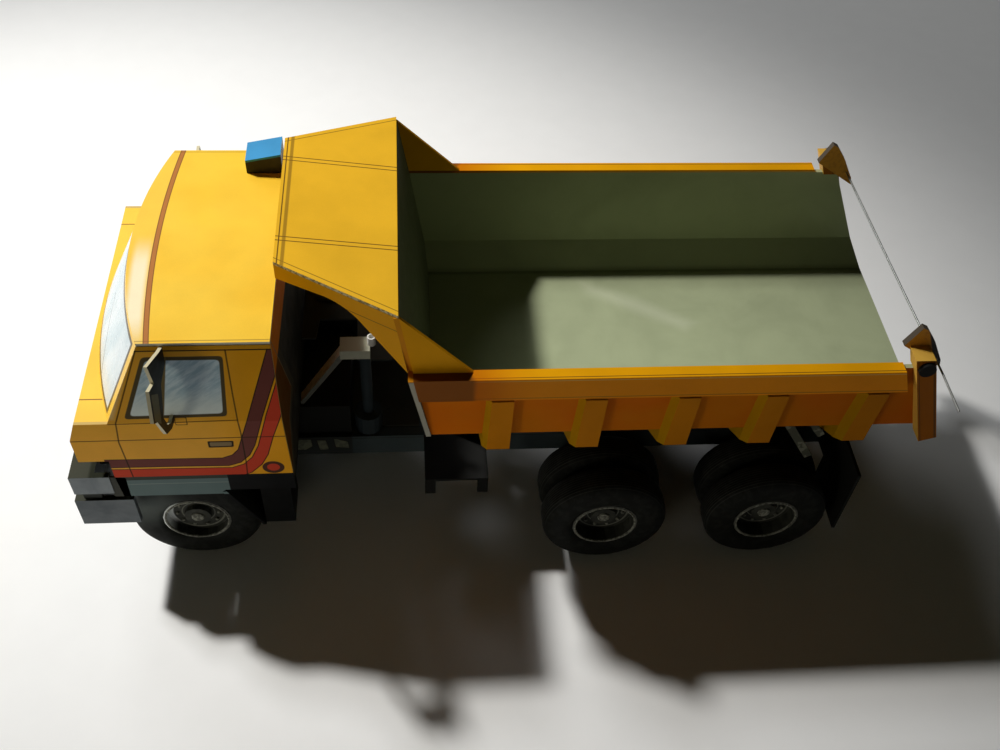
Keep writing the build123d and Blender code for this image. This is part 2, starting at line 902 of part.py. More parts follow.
# Rear posts: their front faces give the rails their rear ends
post_set = 3.6
post_over = 4.5
post_rake = 0.37
post_w = 4.8
post_l = 33.0
post_out = 0.5
post_in = 1.1
rail_gap = 2.2
post_top_z = rail_top_z + post_over
post_outer_y = rail_outer_y + post_out
post_inner_y = rail_inner_y - post_in

# Corners: side, how far its post stands forward of the left one
corner_table = [
    (1, 0.0),
    (-1, 2.2),
]


def post_x(z, forward):
    """Front face of a rear post at a height."""
    return rear_top_x + post_set + forward + post_rake * (z - post_top_z)


# Bed walls with the slanted strip that meets the floor
for side_name, side in (("left", 1), ("right", -1)):
    with BuildPart() as wall:
        with BuildSketch(section_plane(bed_rear_x)):
            with BuildLine():
                Polyline(
                    (side * floor_half_w, floor_top_z),
                    (side * foot_half_w, foot_z),
                    (side * wall_inner_y(rail_top_z - card), rail_top_z - card),
                    (side * wall_outer_y(rail_top_z - card), rail_top_z - card),
                    (side * wall_outer_y(skirt_bottom_z), skirt_bottom_z),
                    (side * floor_half_w, floor_top_z - board),
                    close=True,
                )
            make_face()
        extrude(amount=bed_l)
        with BuildSketch(side_plane(0)):
            with BuildLine():
                Polyline(
                    (rear_x(floor_top_z - board), floor_top_z - board),
                    (front_x(floor_top_z - board), floor_top_z - board),
                    (front_x(rail_top_z), rail_top_z),
                    (rear_x(rail_top_z), rail_top_z),
                    close=True,
                )
            make_face()
        extrude(amount=2 * rail_outer_y, both=True, mode=Mode.INTERSECT)
    save(wall.part, f"bed_wall_{side_name}")

# Rails: a folded channel along the top of each wall
with BuildPart() as rails:
    for side, forward in corner_table:
        with BuildSketch(section_plane(bed_rear_x)):
            with BuildLine():
                Polyline(
                    (side * rail_inner_y, rail_top_z),
                    (side * rail_outer_y, rail_top_z),
                    (side * rail_outer_y, rail_bottom_z),
                    (side * wall_outer_y(rail_bottom_z), rail_bottom_z),
                    (side * wall_outer_y(rail_bottom_z + card), rail_bottom_z + card),
                    (side * (rail_outer_y - card), rail_bottom_z + card),
                    (side * (rail_outer_y - card), rail_top_z - card),
                    (side * wall_outer_y(rail_top_z - card), rail_top_z - card),
                    (side * wall_inner_y(rail_top_z - card), rail_top_z - card),
                    close=True,
                )
            make_face()
        extrude(amount=bed_l)
        with BuildSketch(side_plane(0)):
            with BuildLine():
                Polyline(
                    (bed_rear_x, rail_bottom_z),
                    (post_x(rail_bottom_z, forward) + rail_gap, rail_bottom_z),
                    (post_x(rail_top_z, forward) + rail_gap, rail_top_z),
                    (bed_rear_x, rail_top_z),
                    close=True,
                )
            make_face()
        extrude(amount=-side * 2 * rail_outer_y, mode=Mode.SUBTRACT)
    with BuildSketch(side_plane(0)):
        with BuildLine():
            Polyline(
                (bed_rear_x, rail_bottom_z),
                (front_x(rail_bottom_z), rail_bottom_z),
                (front_x(rail_top_z), rail_top_z),
                (bed_rear_x, rail_top_z),
                close=True,
            )
        make_face()
    extrude(amount=2 * rail_outer_y, both=True, mode=Mode.INTERSECT)
save(rails.part, "bed_rails")

# Ribs under the rails, placed by their share of the bed's length from the front wall
rib_w = 5.2
rib_bevel = 1.5
rib_gap = 0.7
rib_taper = 1.1
rib_foot_h = 2.7
rib_lip_h = 1.0
rib_reach = 1.2
rib_drop = 5.1
rib_shares = (0.174, 0.359, 0.546, 0.725, 0.931)
rib_top_z = rail_bottom_z - rib_gap
rib_low_y = rail_outer_y - rib_taper
with BuildPart() as ribs:
    for share in rib_shares:
        middle_x = front_top_x - share * (front_top_x - rear_top_x)
        with BuildSketch(section_plane(middle_x - rib_w / 2)):
            with BuildLine():
                Polyline(
                    (wall_outer_y(rib_top_z), rib_top_z),
                    (rail_outer_y, rib_top_z),
                    (rib_low_y, foot_z - rib_foot_h),
                    (rib_low_y, foot_z - rib_foot_h - rib_lip_h),
                    (floor_half_w - rib_reach, floor_top_z - board - rib_drop),
                    (floor_half_w - rib_reach, floor_top_z - board),
                    (floor_half_w, floor_top_z - board),
                    (wall_outer_y(skirt_bottom_z), skirt_bottom_z),
                    close=True,
                )
            make_face()
        extrude(amount=rib_w + rib_bevel)
        with BuildSketch(level_plane(floor_top_z - board - rib_drop)):
            with BuildLine():
                Polyline(
                    (middle_x + rib_w / 2, rail_outer_y),
                    (middle_x + rib_w / 2 + rib_bevel, wall_outer_y(foot_z)),
                    (middle_x + rib_w / 2 + rib_bevel, rail_outer_y),
                    close=True,
                )
            make_face()
        extrude(amount=rail_bottom_z - floor_top_z + board + rib_drop, mode=Mode.SUBTRACT)
    mirror(about=Plane.XZ)
save(ribs.part, "bed_ribs")

# Front wall, leaning forward, up to the rear edge of the canopy
front_edge_out = 0.6
canopy_in = 0.3
canopy_front_half_w = 22.0
canopy_over_cab = 0.3
canopy_rear_half_w = rail_inner_y - canopy_in
canopy_front_x = cab_rear_low_x + canopy_over_cab
canopy_rear_x = front_x(canopy_rear_z)
with BuildPart() as bed_front:
    with BuildSketch(side_plane(-rail_outer_y)):
        with BuildLine():
            Polyline(
                (front_x(floor_top_z - board), floor_top_z - board),
                (front_x(canopy_rear_z - card), canopy_rear_z - card),
                (front_x(canopy_rear_z - card) + board, canopy_rear_z - card),
                (front_x(floor_top_z - board) + board, floor_top_z - board),
                close=True,
            )
        make_face()
    extrude(amount=-2 * rail_outer_y)
    with BuildSketch(section_plane(0)):
        with BuildLine():
            Polyline(
                (floor_half_w, floor_top_z - board),
                (wall_outer_y(skirt_bottom_z) + front_edge_out, skirt_bottom_z),
                (rail_outer_y, rail_top_z),
                (rail_inner_y, rail_top_z),
                (canopy_rear_half_w, canopy_rear_z - card),
                (-canopy_rear_half_w, canopy_rear_z - card),
                (-rail_inner_y, rail_top_z),
                (-rail_outer_y, rail_top_z),
                (-wall_outer_y(skirt_bottom_z) - front_edge_out, skirt_bottom_z),
                (-floor_half_w, floor_top_z - board),
                close=True,
            )
        make_face()
    extrude(amount=2 * front_top_x, mode=Mode.INTERSECT)
save(bed_front.part, "bed_front")

# Canopy sheet over the cab's rear, rising towards its front edge
with BuildPart() as canopy:
    with BuildSketch(side_plane(-rail_outer_y)):
        with BuildLine():
            Polyline(
                (canopy_rear_x, canopy_rear_z - card),
                (canopy_rear_x, canopy_rear_z),
                (canopy_front_x, canopy_front_z),
                (canopy_front_x, canopy_front_z - card),
                close=True,
            )
        make_face()
    extrude(amount=-2 * rail_outer_y)
    with BuildSketch(level_plane(rail_top_z)):
        with BuildLine():
            Polyline(
                (canopy_rear_x, canopy_rear_half_w),
                (canopy_front_x, canopy_front_half_w),
                (canopy_front_x, -canopy_front_half_w),
                (canopy_rear_x, -canopy_rear_half_w),
                close=True,
            )
        make_face()
    extrude(amount=canopy_front_z, mode=Mode.INTERSECT)
save(canopy.part, "canopy")

# Cheeks below the canopy's slanted sides, with a curved lower edge down to the rail
cheek_run = math.hypot(canopy_front_x - canopy_rear_x, canopy_rear_half_w - canopy_front_half_w)
cheek_cos = (canopy_front_x - canopy_rear_x) / cheek_run
cheek_sin = (canopy_front_half_w - canopy_rear_half_w) / cheek_run
cheek_flange = 5.0
cheek_overrun = 5.0
cheek_toe = 2.0
cheek_knee_share = 0.445
cheek_knee_drop = 0.5
cheek_knee_r = 14.0
cheek_knee_z = canopy_front_z - cheek_flange - cheek_knee_drop
cheek_plane = Plane(
    origin=(canopy_rear_x, canopy_rear_half_w, 0),
    x_dir=(cheek_cos, cheek_sin, 0),
    z_dir=(cheek_sin, -cheek_cos, 0),
)
with BuildPart() as cheeks:
    with BuildSketch(cheek_plane):
        with BuildLine():
            Polyline(
                (-cheek_overrun, rail_top_z),
                (-cheek_overrun, canopy_rear_z - card),
                (0, canopy_rear_z - card),
                (cheek_run, canopy_front_z - card),
                (cheek_run, canopy_front_z - cheek_flange),
            )
            FilletPolyline(
                (cheek_run, canopy_front_z - cheek_flange),
                (cheek_knee_share * cheek_run, cheek_knee_z),
                (-cheek_toe, rail_top_z),
                radius=cheek_knee_r,
            )
            Line((-cheek_toe, rail_top_z), (-cheek_overrun, rail_top_z))
        make_face()
    extrude(amount=card)
    with BuildSketch(side_plane(0)):
        with BuildLine():
            Polyline(
                (front_x(rail_top_z) + board, rail_top_z),
                (front_x(canopy_rear_z - card) + board, canopy_rear_z - card),
                (canopy_front_x, canopy_front_z - card),
                (canopy_front_x, rail_top_z),
                close=True,
            )
        make_face()
    extrude(amount=2 * rail_outer_y, both=True, mode=Mode.INTERSECT)
    mirror(about=Plane.XZ)
save(cheeks.part, "canopy_cheeks")

# Gussets that stand on the rails behind the front wall
gusset_l = 13.7
gusset_rear_x = front_top_x - gusset_l
with BuildPart() as gussets:
    with BuildSketch(section_plane(gusset_rear_x)):
        with BuildLine():
            Polyline(
                (rail_inner_y, rail_top_z),
                (rail_inner_y + card, rail_top_z),
                (canopy_rear_half_w, canopy_rear_z - card),
                (canopy_rear_half_w - card, canopy_rear_z - card),
                close=True,
            )
        make_face()
    extrude(amount=canopy_rear_x - gusset_rear_x)
    with BuildSketch(side_plane(0)):
        with BuildLine():
            Polyline(
                (gusset_rear_x, rail_top_z),
                (front_x(rail_top_z), rail_top_z),
                (front_x(canopy_rear_z - card), canopy_rear_z - card),
                close=True,
            )
        make_face()
    extrude(amount=2 * rail_outer_y, both=True, mode=Mode.INTERSECT)
    mirror(about=Plane.XZ)
save(gussets.part, "canopy_gussets")

# Sills under the floor, with the bore of the hinge
sill_tail = 5.0
sill_set = 8.1
sill_rear_x = hinge_x - sill_tail
sill_front_x = front_top_x - sill_set
with BuildPart() as sills:
    with BuildSketch(side_plane(-sill_outer_y)):
        with Locations(((sill_rear_x + sill_front_x) / 2, sill_bottom_z + sill_h / 2)):
            Rectangle(sill_front_x - sill_rear_x, sill_h)
        with Locations((hinge_x, hinge_z)):
            Circle(hinge_r + run_fit, mode=Mode.SUBTRACT)
    extrude(amount=-sill_w)
    mirror(about=Plane.XZ)
save(sills.part, "bed_sills")

# Raked posts at the rear corners, each seated on its wall's outer face and cut square to its rake
post_rake_cos = 1 / math.hypot(1, post_rake)
post_foot_z = post_top_z - post_l * post_rake_cos
post_cut_run = post_w * post_rake_cos**2
with BuildPart() as posts:
    for side, forward in corner_table:
        with BuildSketch(side_plane(side * post_outer_y)):
            with BuildLine():
                Polyline(
                    (post_x(post_foot_z, forward), post_foot_z),
                    (post_x(post_top_z, forward), post_top_z),
                    (post_x(post_top_z, forward) - post_w, post_top_z),
                    (
                        post_x(post_foot_z, forward) - post_cut_run,
                        post_foot_z + post_rake * post_cut_run,
                    ),
                    close=True,
                )
            make_face()
        extrude(amount=side * (post_outer_y - post_inner_y))
    with BuildSketch(section_plane(bed_rear_x)):
        with BuildLine():
            Polyline(
                (wall_outer_y(skirt_bottom_z), post_foot_z),
                (wall_outer_y(skirt_bottom_z), skirt_bottom_z),
                (wall_outer_y(rail_top_z - card), rail_top_z - card),
                (-wall_outer_y(rail_top_z - card), rail_top_z - card),
                (-wall_outer_y(skirt_bottom_z), skirt_bottom_z),
                (-wall_outer_y(skirt_bottom_z), post_foot_z),
                close=True,
            )
        make_face()
    extrude(amount=bed_l, mode=Mode.SUBTRACT)
save(posts.part, "bed_posts")

# Wire across the rear, a little askew, bent where its free end leaves the left post
# Free end as seen from the bend: forward, to the left, up
wire_set = 7.1
wire_rise = 1.2
wire_skew = 2.0
wire_bend_out = 1.4
wire_right_out = 0.4
wire_free = Vector(-1.3, 9.4, -2.1)
wire_bend = Vector(
    post_x(post_top_z, 0) - wire_set,
    post_outer_y + wire_bend_out,
    rail_top_z + wire_rise,
)
wire_run = Vector(wire_skew, -(wire_bend_out + 2 * post_outer_y + wire_right_out), 0)
wire_plane = Plane(origin=wire_bend, z_dir=wire_run)

# Lugs on the posts' inner faces that hold the wire
# Outline: forward from the post's front face at its top, height over the rail
lug_w = 1.6
lug_outline = [
    (1.4, 4.5),
    (-1.3, 10.4),
    (-2.8, 9.6),
    (-5.7, 5.7),
    (-9.4, -0.7),
    (-10.0, -3.1),
]
with BuildPart() as lugs:
    for side, forward in corner_table:
        post_front_x = post_x(post_top_z, forward)
        with BuildSketch(side_plane(side * post_inner_y)):
            with BuildLine():
                Polyline(
                    *[(post_front_x + out, rail_top_z + up) for out, up in lug_outline],
                    close=True,
                )
            make_face()
        extrude(amount=side * lug_w)
    with BuildSketch(wire_plane):
        Circle(wire_r)
    extrude(amount=wire_run.length, mode=Mode.SUBTRACT)
save(lugs.part, "hinge_lugs")

# Round bosses on the outer faces of the posts
boss_r = 2.0
boss_l = 1.0
boss_drop = 2.6
boss_z = post_top_z - boss_drop
with BuildPart() as bosses:
    for side, forward in corner_table:
        with BuildSketch(side_plane(side * (post_outer_y + boss_l))):
            with Locations((post_x(boss_z, forward) - post_w / 2, boss_z)):
                Circle(boss_r)
        extrude(amount=side * boss_l)
save(bosses.part, "post_bosses")

with BuildPart() as wire:
    with BuildSketch(wire_plane):
        Circle(wire_r)
    extrude(amount=wire_run.length)
    with Locations(wire_bend):
        Sphere(wire_r)
    with BuildSketch(Plane(origin=wire_bend, z_dir=wire_free)):
        Circle(wire_r)
    extrude(amount=wire_free.length)
save(wire.part, "hinge_wire")
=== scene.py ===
import math

import bmesh
import bpy
from mathutils import Matrix, Vector


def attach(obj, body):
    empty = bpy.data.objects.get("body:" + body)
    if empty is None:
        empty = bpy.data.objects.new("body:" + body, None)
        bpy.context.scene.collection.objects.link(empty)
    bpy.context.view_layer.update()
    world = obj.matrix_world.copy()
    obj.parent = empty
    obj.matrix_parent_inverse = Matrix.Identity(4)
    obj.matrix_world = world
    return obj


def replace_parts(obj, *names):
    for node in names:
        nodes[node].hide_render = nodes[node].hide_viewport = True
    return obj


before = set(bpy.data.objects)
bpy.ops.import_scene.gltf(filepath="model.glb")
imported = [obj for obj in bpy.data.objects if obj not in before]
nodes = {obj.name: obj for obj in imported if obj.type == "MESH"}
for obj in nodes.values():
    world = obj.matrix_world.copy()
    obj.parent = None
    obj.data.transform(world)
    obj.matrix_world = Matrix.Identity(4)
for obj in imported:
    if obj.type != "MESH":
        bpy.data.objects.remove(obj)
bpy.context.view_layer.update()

# Places of the camera and the lights are metres. In node graphs and mesh helpers, x, y and z are
# millimetres of the part's own frame: forward, to the left and up.
MM = 0.001
PHOTO_W_PX = 1000
SENSOR_W_MM = 36.0


# Camera, lights and world
def add_object(name, data):
    o = bpy.data.objects.new(name, data)
    bpy.context.scene.collection.objects.link(o)
    return o


def camera_at(centre, forward, right, focal_px):
    """The photo's camera, as fitted to points of the object."""
    f = Vector(forward).normalized()
    r = Vector(right)
    r = (r - f * r.dot(f)).normalized()
    u = r.cross(f)
    cam = add_object("camera", bpy.data.cameras.new("camera"))
    cam.data.sensor_width = SENSOR_W_MM
    cam.data.lens = focal_px / PHOTO_W_PX * SENSOR_W_MM
    cam.data.clip_start = 0.01
    rows = [(r[i], u[i], -f[i], centre[i]) for i in range(3)]
    cam.matrix_world = Matrix((*rows, (0, 0, 0, 1)))
    bpy.context.scene.camera = cam


def light(name, kind, place, target, power, colour):
    o = add_object(name, bpy.data.lights.new(name, kind))
    o.data.energy = power
    o.data.color = colour
    o.location = place
    o.rotation_euler = (Vector(target) - Vector(place)).to_track_quat("-Z", "Y").to_euler()
    return o


def area_light(name, place, target, size, power, colour):
    o = light(name, "AREA", place, target, power, colour)
    o.data.shape = "DISK"
    o.data.size = size
    o.visible_camera = False


def spot_light(name, place, target, radius, power, colour, cone_deg):
    o = light(name, "SPOT", place, target, power, colour)
    o.data.spot_size = math.radians(cone_deg)
    o.data.spot_blend = 1.0
    o.data.shadow_soft_size = radius


def world_light(colour, strength):
    world = bpy.data.worlds.new("world")
    world.use_nodes = True
    background = world.node_tree.nodes["Background"]
    background.inputs["Color"].default_value = (*colour, 1)
    background.inputs["Strength"].default_value = strength
    bpy.context.scene.world = world


camera_at((0.02488, 0.1955, 0.2632), (-0.0841, -0.6497, -0.7556), (-0.9963, 0.0690, 0.0516), 1069.3)
area_light("window", (0.79, -0.56, 1.05), (0.03, 0.0, 0.05), 0.16, 5.0, (0.97, 0.985, 1.0))
area_light("sky", (0.45, -0.75, 0.80), (0.03, 0.0, 0.04), 0.40, 1.5, (0.96, 0.98, 1.0))
# The low light that draws the photo's shadows
spot_light("lamp", (0.794, -0.437, 1.05), (0.12, -0.07, 0.03), 0.045, 72.0, (1.0, 0.985, 0.95), 24)
# Stands for the light that the pale floor throws back on the near side
spot_light("bounce", (0.43, 0.45, 0.065), (0.02, 0.03, 0.055), 0.06, 1.22, (1.0, 0.94, 0.74), 40)
world_light((1.0, 0.96, 0.60), 0.010)
bpy.context.scene.view_settings.view_transform = "Standard"


# Node graphs
def rgba(v):
    return (*v, 1.0) if isinstance(v, tuple) else v


class Graph:
    """Builds a material's nodes from plain calls. Masks run from 0 to 1."""

    def __init__(self, name):
        self.material = bpy.data.materials.new(name)
        self.material.use_nodes = True
        self.tree = self.material.node_tree
        self.bsdf = self.tree.nodes["Principled BSDF"]
        co = self.tree.nodes.new("ShaderNodeTexCoord")
        self.object_co = co.outputs["Object"]
        self.normal_out = co.outputs["Normal"]
        self._xyz = None
        self._nxyz = None

    def node(self, kind, **inputs):
        n = self.tree.nodes.new(kind)
        for k, v in inputs.items():
            self.put(n.inputs[k], v)
        return n

    def put(self, socket, value):
        if isinstance(value, bpy.types.NodeSocket):
            self.tree.links.new(value, socket)
        else:
            socket.default_value = value

    def m(self, op, a, b=0.0, c=0.0):
        n = self.tree.nodes.new("ShaderNodeMath")
        n.operation = op
        for i, v in enumerate((a, b, c)):
            self.put(n.inputs[i], v)
        return n.outputs[0]

    def chain(self, op, terms):
        r = terms[0]
        for t in terms[1:]:
            r = self.m(op, r, t)
        return r

    def add(self, *terms):
        return self.chain("ADD", terms)

    def lo(self, *terms):
        return self.chain("MINIMUM", terms)

    def hi(self, *terms):
        return self.chain("MAXIMUM", terms)

    def sub(self, a, b):
        return self.m("SUBTRACT", a, b)

    def mul(self, a, b):
        return self.m("MULTIPLY", a, b)

    def mul_add(self, a, b, c):
        return self.m("MULTIPLY_ADD", a, b, c)

    def mag(self, a):
        return self.m("ABSOLUTE", a)

    def inv(self, a):
        return self.sub(1.0, a)

    def xyz(self):
        if self._xyz is None:
            s = self.node("ShaderNodeSeparateXYZ", Vector=self.object_co)
            self._xyz = [self.mul(s.outputs[i], 1000.0) for i in range(3)]
        return self._xyz

    def nxyz(self):
        if self._nxyz is None:
            s = self.node("ShaderNodeSeparateXYZ", Vector=self.normal_out)
            self._nxyz = list(s.outputs)
        return self._nxyz

    def step(self, value, edge, soft=0.08):
        """0 below the edge, 1 above it."""
        n = self.tree.nodes.new("ShaderNodeMapRange")
        n.interpolation_type = "SMOOTHSTEP"
        for k, v in (("Value", value), ("From Min", edge - soft), ("From Max", edge + soft)):
            self.put(n.inputs[k], v)
        return n.outputs[0]

    def under(self, value, edge, soft=0.08):
        """1 below the edge, 0 above it."""
        return self.inv(self.step(value, edge, soft))

    def band(self, value, low, high, soft=0.08):
        return self.mul(self.step(value, low, soft), self.under(value, high, soft))

    def line(self, distance, half_w=0.15, soft=0.08):
        return self.under(self.mag(distance), half_w, soft)

    def line_at(self, value, place, half_w=0.15, soft=0.08):
        return self.line(self.sub(value, place), half_w, soft)

    def poly(self, u, v, points, rounding=0.0):
        """Signed distance to a convex outline, below 0 inside it. Points run either way round."""
        edges = list(zip(points, points[1:] + points[:1]))
        area = sum(a[0] * b[1] - b[0] * a[1] for a, b in edges)
        side = 1 if area > 0 else -1
        d = None
        for a, b in edges:
            dx, dy = b[0] - a[0], b[1] - a[1]
            k = math.hypot(dx, dy)
            nx, ny = side * dy / k, -side * dx / k
            e = self.mul_add(u, nx, -(a[0] * nx + a[1] * ny))
            e = self.mul_add(v, ny, e)
            if d is None:
                d = e
            elif rounding:
                d = self.m("SMOOTH_MAX", d, e, rounding)
            else:
                d = self.m("MAXIMUM", d, e)
        return d

    def strip(self, u, v, one, other):
        """Signed distance to a band between two lines with as many points each."""
        quads = zip(one, one[1:], other[1:], other)
        return self.lo(*[self.poly(u, v, list(q)) for q in quads])

    def seg(self, u, v, a, b):
        """Distance to a straight piece of line."""
        dx, dy = b[0] - a[0], b[1] - a[1]
        k = dx * dx + dy * dy
        t = self.mul_add(u, dx / k, -(a[0] * dx + a[1] * dy) / k)
        t = self.mul_add(v, dy / k, t)
        t = self.lo(self.hi(t, 0.0), 1.0)
        ex = self.sub(self.sub(u, a[0]), self.mul(t, dx))
        ey = self.sub(self.sub(v, a[1]), self.mul(t, dy))
        return self.m("SQRT", self.add(self.mul(ex, ex), self.mul(ey, ey)))

    def path(self, u, v, points):
        return self.lo(*[self.seg(u, v, a, b) for a, b in zip(points, points[1:])])

    def disc(self, u, v, centre, stretch=1.0):
        """Distance to a point, with the second axis stretched."""
        a = self.sub(u, centre[0])
        b = self.mul(self.sub(v, centre[1]), stretch)
        return self.m("SQRT", self.add(self.mul(a, a), self.mul(b, b)))

    def noise(self, scale, detail=3.0, rough=0.5, stretch=(1, 1, 1), distortion=0.0):
        """Noise whose main size is about 1/scale of a millimetre."""
        mp = self.node("ShaderNodeMapping", Vector=self.object_co)
        mp.inputs["Scale"].default_value = tuple(1000 * scale * s for s in stretch)
        n = self.node("ShaderNodeTexNoise", Vector=mp.outputs[0], Scale=1.0, Detail=detail,
                      Roughness=rough, Distortion=distortion)
        return n.outputs["Fac"]

    def patches(self, scale, detail, edge, soft, rough=0.5):
        """Mask of noise patches."""
        return self.step(self.noise(scale, detail, rough), edge, soft)

    def mix(self, fac, a, b):
        """a where the mask is 0, b where it is 1."""
        n = self.tree.nodes.new("ShaderNodeMix")
        n.data_type = "RGBA"
        n.clamp_factor = True
        self.put(n.inputs[0], fac)
        self.put(n.inputs[6], rgba(a))
        self.put(n.inputs[7], rgba(b))
        return n.outputs[2]

    def shade(self, colour, factor):
        """Colour times a grey factor."""
        n = self.tree.nodes.new("ShaderNodeMix")
        n.data_type = "RGBA"
        n.blend_type = "MULTIPLY"
        n.inputs[0].default_value = 1.0
        self.put(n.inputs[6], rgba(colour))
        self.put(n.inputs[7], factor)
        return n.outputs[2]

    def around(self, noise, swing, centre):
        """Noise moved to a centre value, with a swing to either side."""
        return self.mul_add(self.sub(noise, 0.5), swing, centre)

    def paper(self, colour, gloss=0.42, grain=0.05, mottle=0.10, bump=0.25, shine=0.12):
        """Printed card: ink mottle, paper grain and a slightly uneven sheen."""
        fine = self.noise(6.0, 4.0, 0.7)
        wide = self.noise(0.09, 3.0, 0.55)
        k = self.around(fine, grain * 4, 1.0)
        k = self.mul(k, self.around(wide, mottle * 2.5, 1.0))
        self.put(self.bsdf.inputs["Base Color"], self.shade(colour, k))
        self.put(self.bsdf.inputs["Roughness"], self.around(self.noise(0.3, 2.0), 0.25, gloss))
        b = self.node("ShaderNodeBump", Height=self.noise(3.5, 4.0, 0.65), Strength=bump,
                      Distance=0.06 * MM)
        self.put(self.bsdf.inputs["Normal"], b.outputs[0])
        self.bsdf.inputs["Specular IOR Level"].default_value = shine
        return self.material


YELLOW = (0.90, 0.55, 0.055)
SIDE_YELLOW = (0.80, 0.42, 0.028)
CHEEK_YELLOW = (0.90, 0.40, 0.002)
SHADE_ORANGE = (0.80, 0.27, 0.004)
STRIPE_MAROON = (0.17, 0.050, 0.040)
STRIPE_RED = (0.62, 0.060, 0.025)
INK = (0.030, 0.020, 0.010)
BROWN = (0.20, 0.085, 0.018)
CUT = (0.66, 0.63, 0.52)
BED = (0.40, 0.44, 0.27)


def scaled(colour, k):
    return tuple(k * v for v in colour)


def card_edge(name, colour, dirt, share):
    """Cut edge of the card: pale core with dirt in it."""
    g = Graph(name)
    c = g.mix(g.patches(1.3, 3.0, share, 0.12, rough=0.6), colour, scaled(colour, dirt))
    return g.paper(c, gloss=0.85, grain=0.08, mottle=0.15)


def across(g, normal):
    """1 on faces that lie across the card, where its cut edge shows."""
    n = g.nxyz()
    d = g.add(*[g.mul(n[i], normal[i]) for i in range(3)])
    return g.under(g.mag(d), 0.5, 0.1)


def side_face(g, edge=0.6, soft=0.1):
    """1 on faces that look to the left or to the right."""
    return g.step(g.mag(g.nxyz()[1]), edge, soft)


def dress(names, *materials, bevel=0.12):
    """Materials of nodes, the last of them on a fine bevel along the card's edges."""
    for name in names.split():
        o = nodes[name]
        o.data.materials.clear()
        for m in materials:
            o.data.materials.append(m)
        if bevel:
            mod = o.modifiers.new("edges", "BEVEL")
            mod.width = bevel * MM
            mod.segments = 1
            mod.limit_method = "ANGLE"
            mod.angle_limit = math.radians(28)
            mod.material = len(materials) - 1
            mod.harden_normals = False


CUT_EDGE = card_edge("cut_edge", CUT, 0.35, 0.52)
WHITE_EDGE = card_edge("white_edge", (0.80, 0.78, 0.70), 0.5, 0.60)
WORN = card_edge("worn_yellow", (0.56, 0.40, 0.12), 0.25, 0.50)
WORN_DARK = card_edge("worn_dark", (0.12, 0.12, 0.10), 0.3, 0.50)
WORN_BED = card_edge("worn_bed", (0.50, 0.50, 0.36), 0.5, 0.55)

# Cab prints. Outlines on the cab's side are (x, z), those on its back (distance from the middle, z)
# Each stripe: colour, upper line, lower line. They run along the foot and rise behind the door
STRIPES = (
    (
        STRIPE_MAROON,
        [(98.0, 51.9), (81.3, 51.7), (70.3, 51.6), (67.8, 52.7), (66.1, 54.9), (65.1, 58.2),
         (62.3, 67.1), (56.2, 86.0)],
        [(98.0, 48.7), (81.8, 48.6), (69.2, 48.4), (66.2, 49.6), (63.7, 52.5), (62.0, 56.4),
         (59.2, 66.5), (53.0, 85.0)],
    ),
    (
        STRIPE_RED,
        [(98.0, 47.9), (81.9, 47.8), (68.5, 47.6), (65.5, 48.9), (63.2, 51.6), (61.3, 56.0),
         (58.3, 67.0), (54.6, 78.0)],
        [(98.0, 44.2), (81.9, 44.2), (66.3, 44.2), (64.0, 45.4), (61.2, 48.6), (59.3, 52.6),
         (57.4, 59.4), (53.2, 72.0)],
    ),
)
# Folds, creases and door gaps, each with half its width
SIDE_LINES = (
    ([(94.2, 65.4), (64.9, 66.0)], 0.13),
    ([(104.2, 59.3), (53.0, 59.6)], 0.15),
    ([(84.6, 86.0), (92.4, 65.8), (93.2, 58.6), (92.7, 44.6)], 0.17),
    ([(65.3, 86.0), (65.1, 74.0), (64.7, 61.3), (64.9, 49.5), (65.2, 44.6)], 0.17),
    ([(97.8, 50.8), (97.8, 44.6)], 0.20),
)
RING_CENTRE = (58.6, 47.3)
RING_R = 2.65
RING_HOLE_R = 1.55
PILLAR_HIGHLIGHT = [(96.5, 67.0), (92.8, 67.0), (86.0, 85.0), (90.0, 85.0)]
WINDOW_FRAME = [(83.6, 84.2), (66.1, 84.2), (67.1, 67.3), (90.2, 67.0)]
WINDOW_GLASS = [(83.0, 83.3), (66.9, 83.3), (67.9, 68.1), (88.9, 67.8)]
WINDOW_CORNER = 1.6
DIVIDER = ((78.9, 84.4), (81.9, 67.4))
HANDLE = [(72.8, 58.2), (66.9, 58.2), (67.1, 56.0), (72.8, 55.9)]
MIRROR_ROOT = [(79.0, 67.2), (79.0, 64.8), (76.4, 64.8), (76.4, 67.2)]
GUTTER_Z = 86.1


def window_print(g, x, z):
    """Printed sky with slanted strokes, paler towards the foot."""
    slant = g.add(g.mul(x, 0.75), z)
    along = g.sub(g.mul(z, 0.75), x)
    co = g.node("ShaderNodeCombineXYZ", X=g.mul(slant, 0.75), Y=g.mul(along, 0.13))
    strokes = g.node("ShaderNodeTexNoise", Vector=co.outputs[0], Scale=1.0, Detail=3.0,
                     Roughness=0.6)
    mask = g.step(strokes.outputs["Fac"], 0.5, 0.16)
    sky = g.mix(mask, (0.38, 0.55, 0.66), (0.64, 0.77, 0.86))
    return g.mix(g.under(z, 72.5, 4.5), sky, (0.80, 0.88, 0.86))


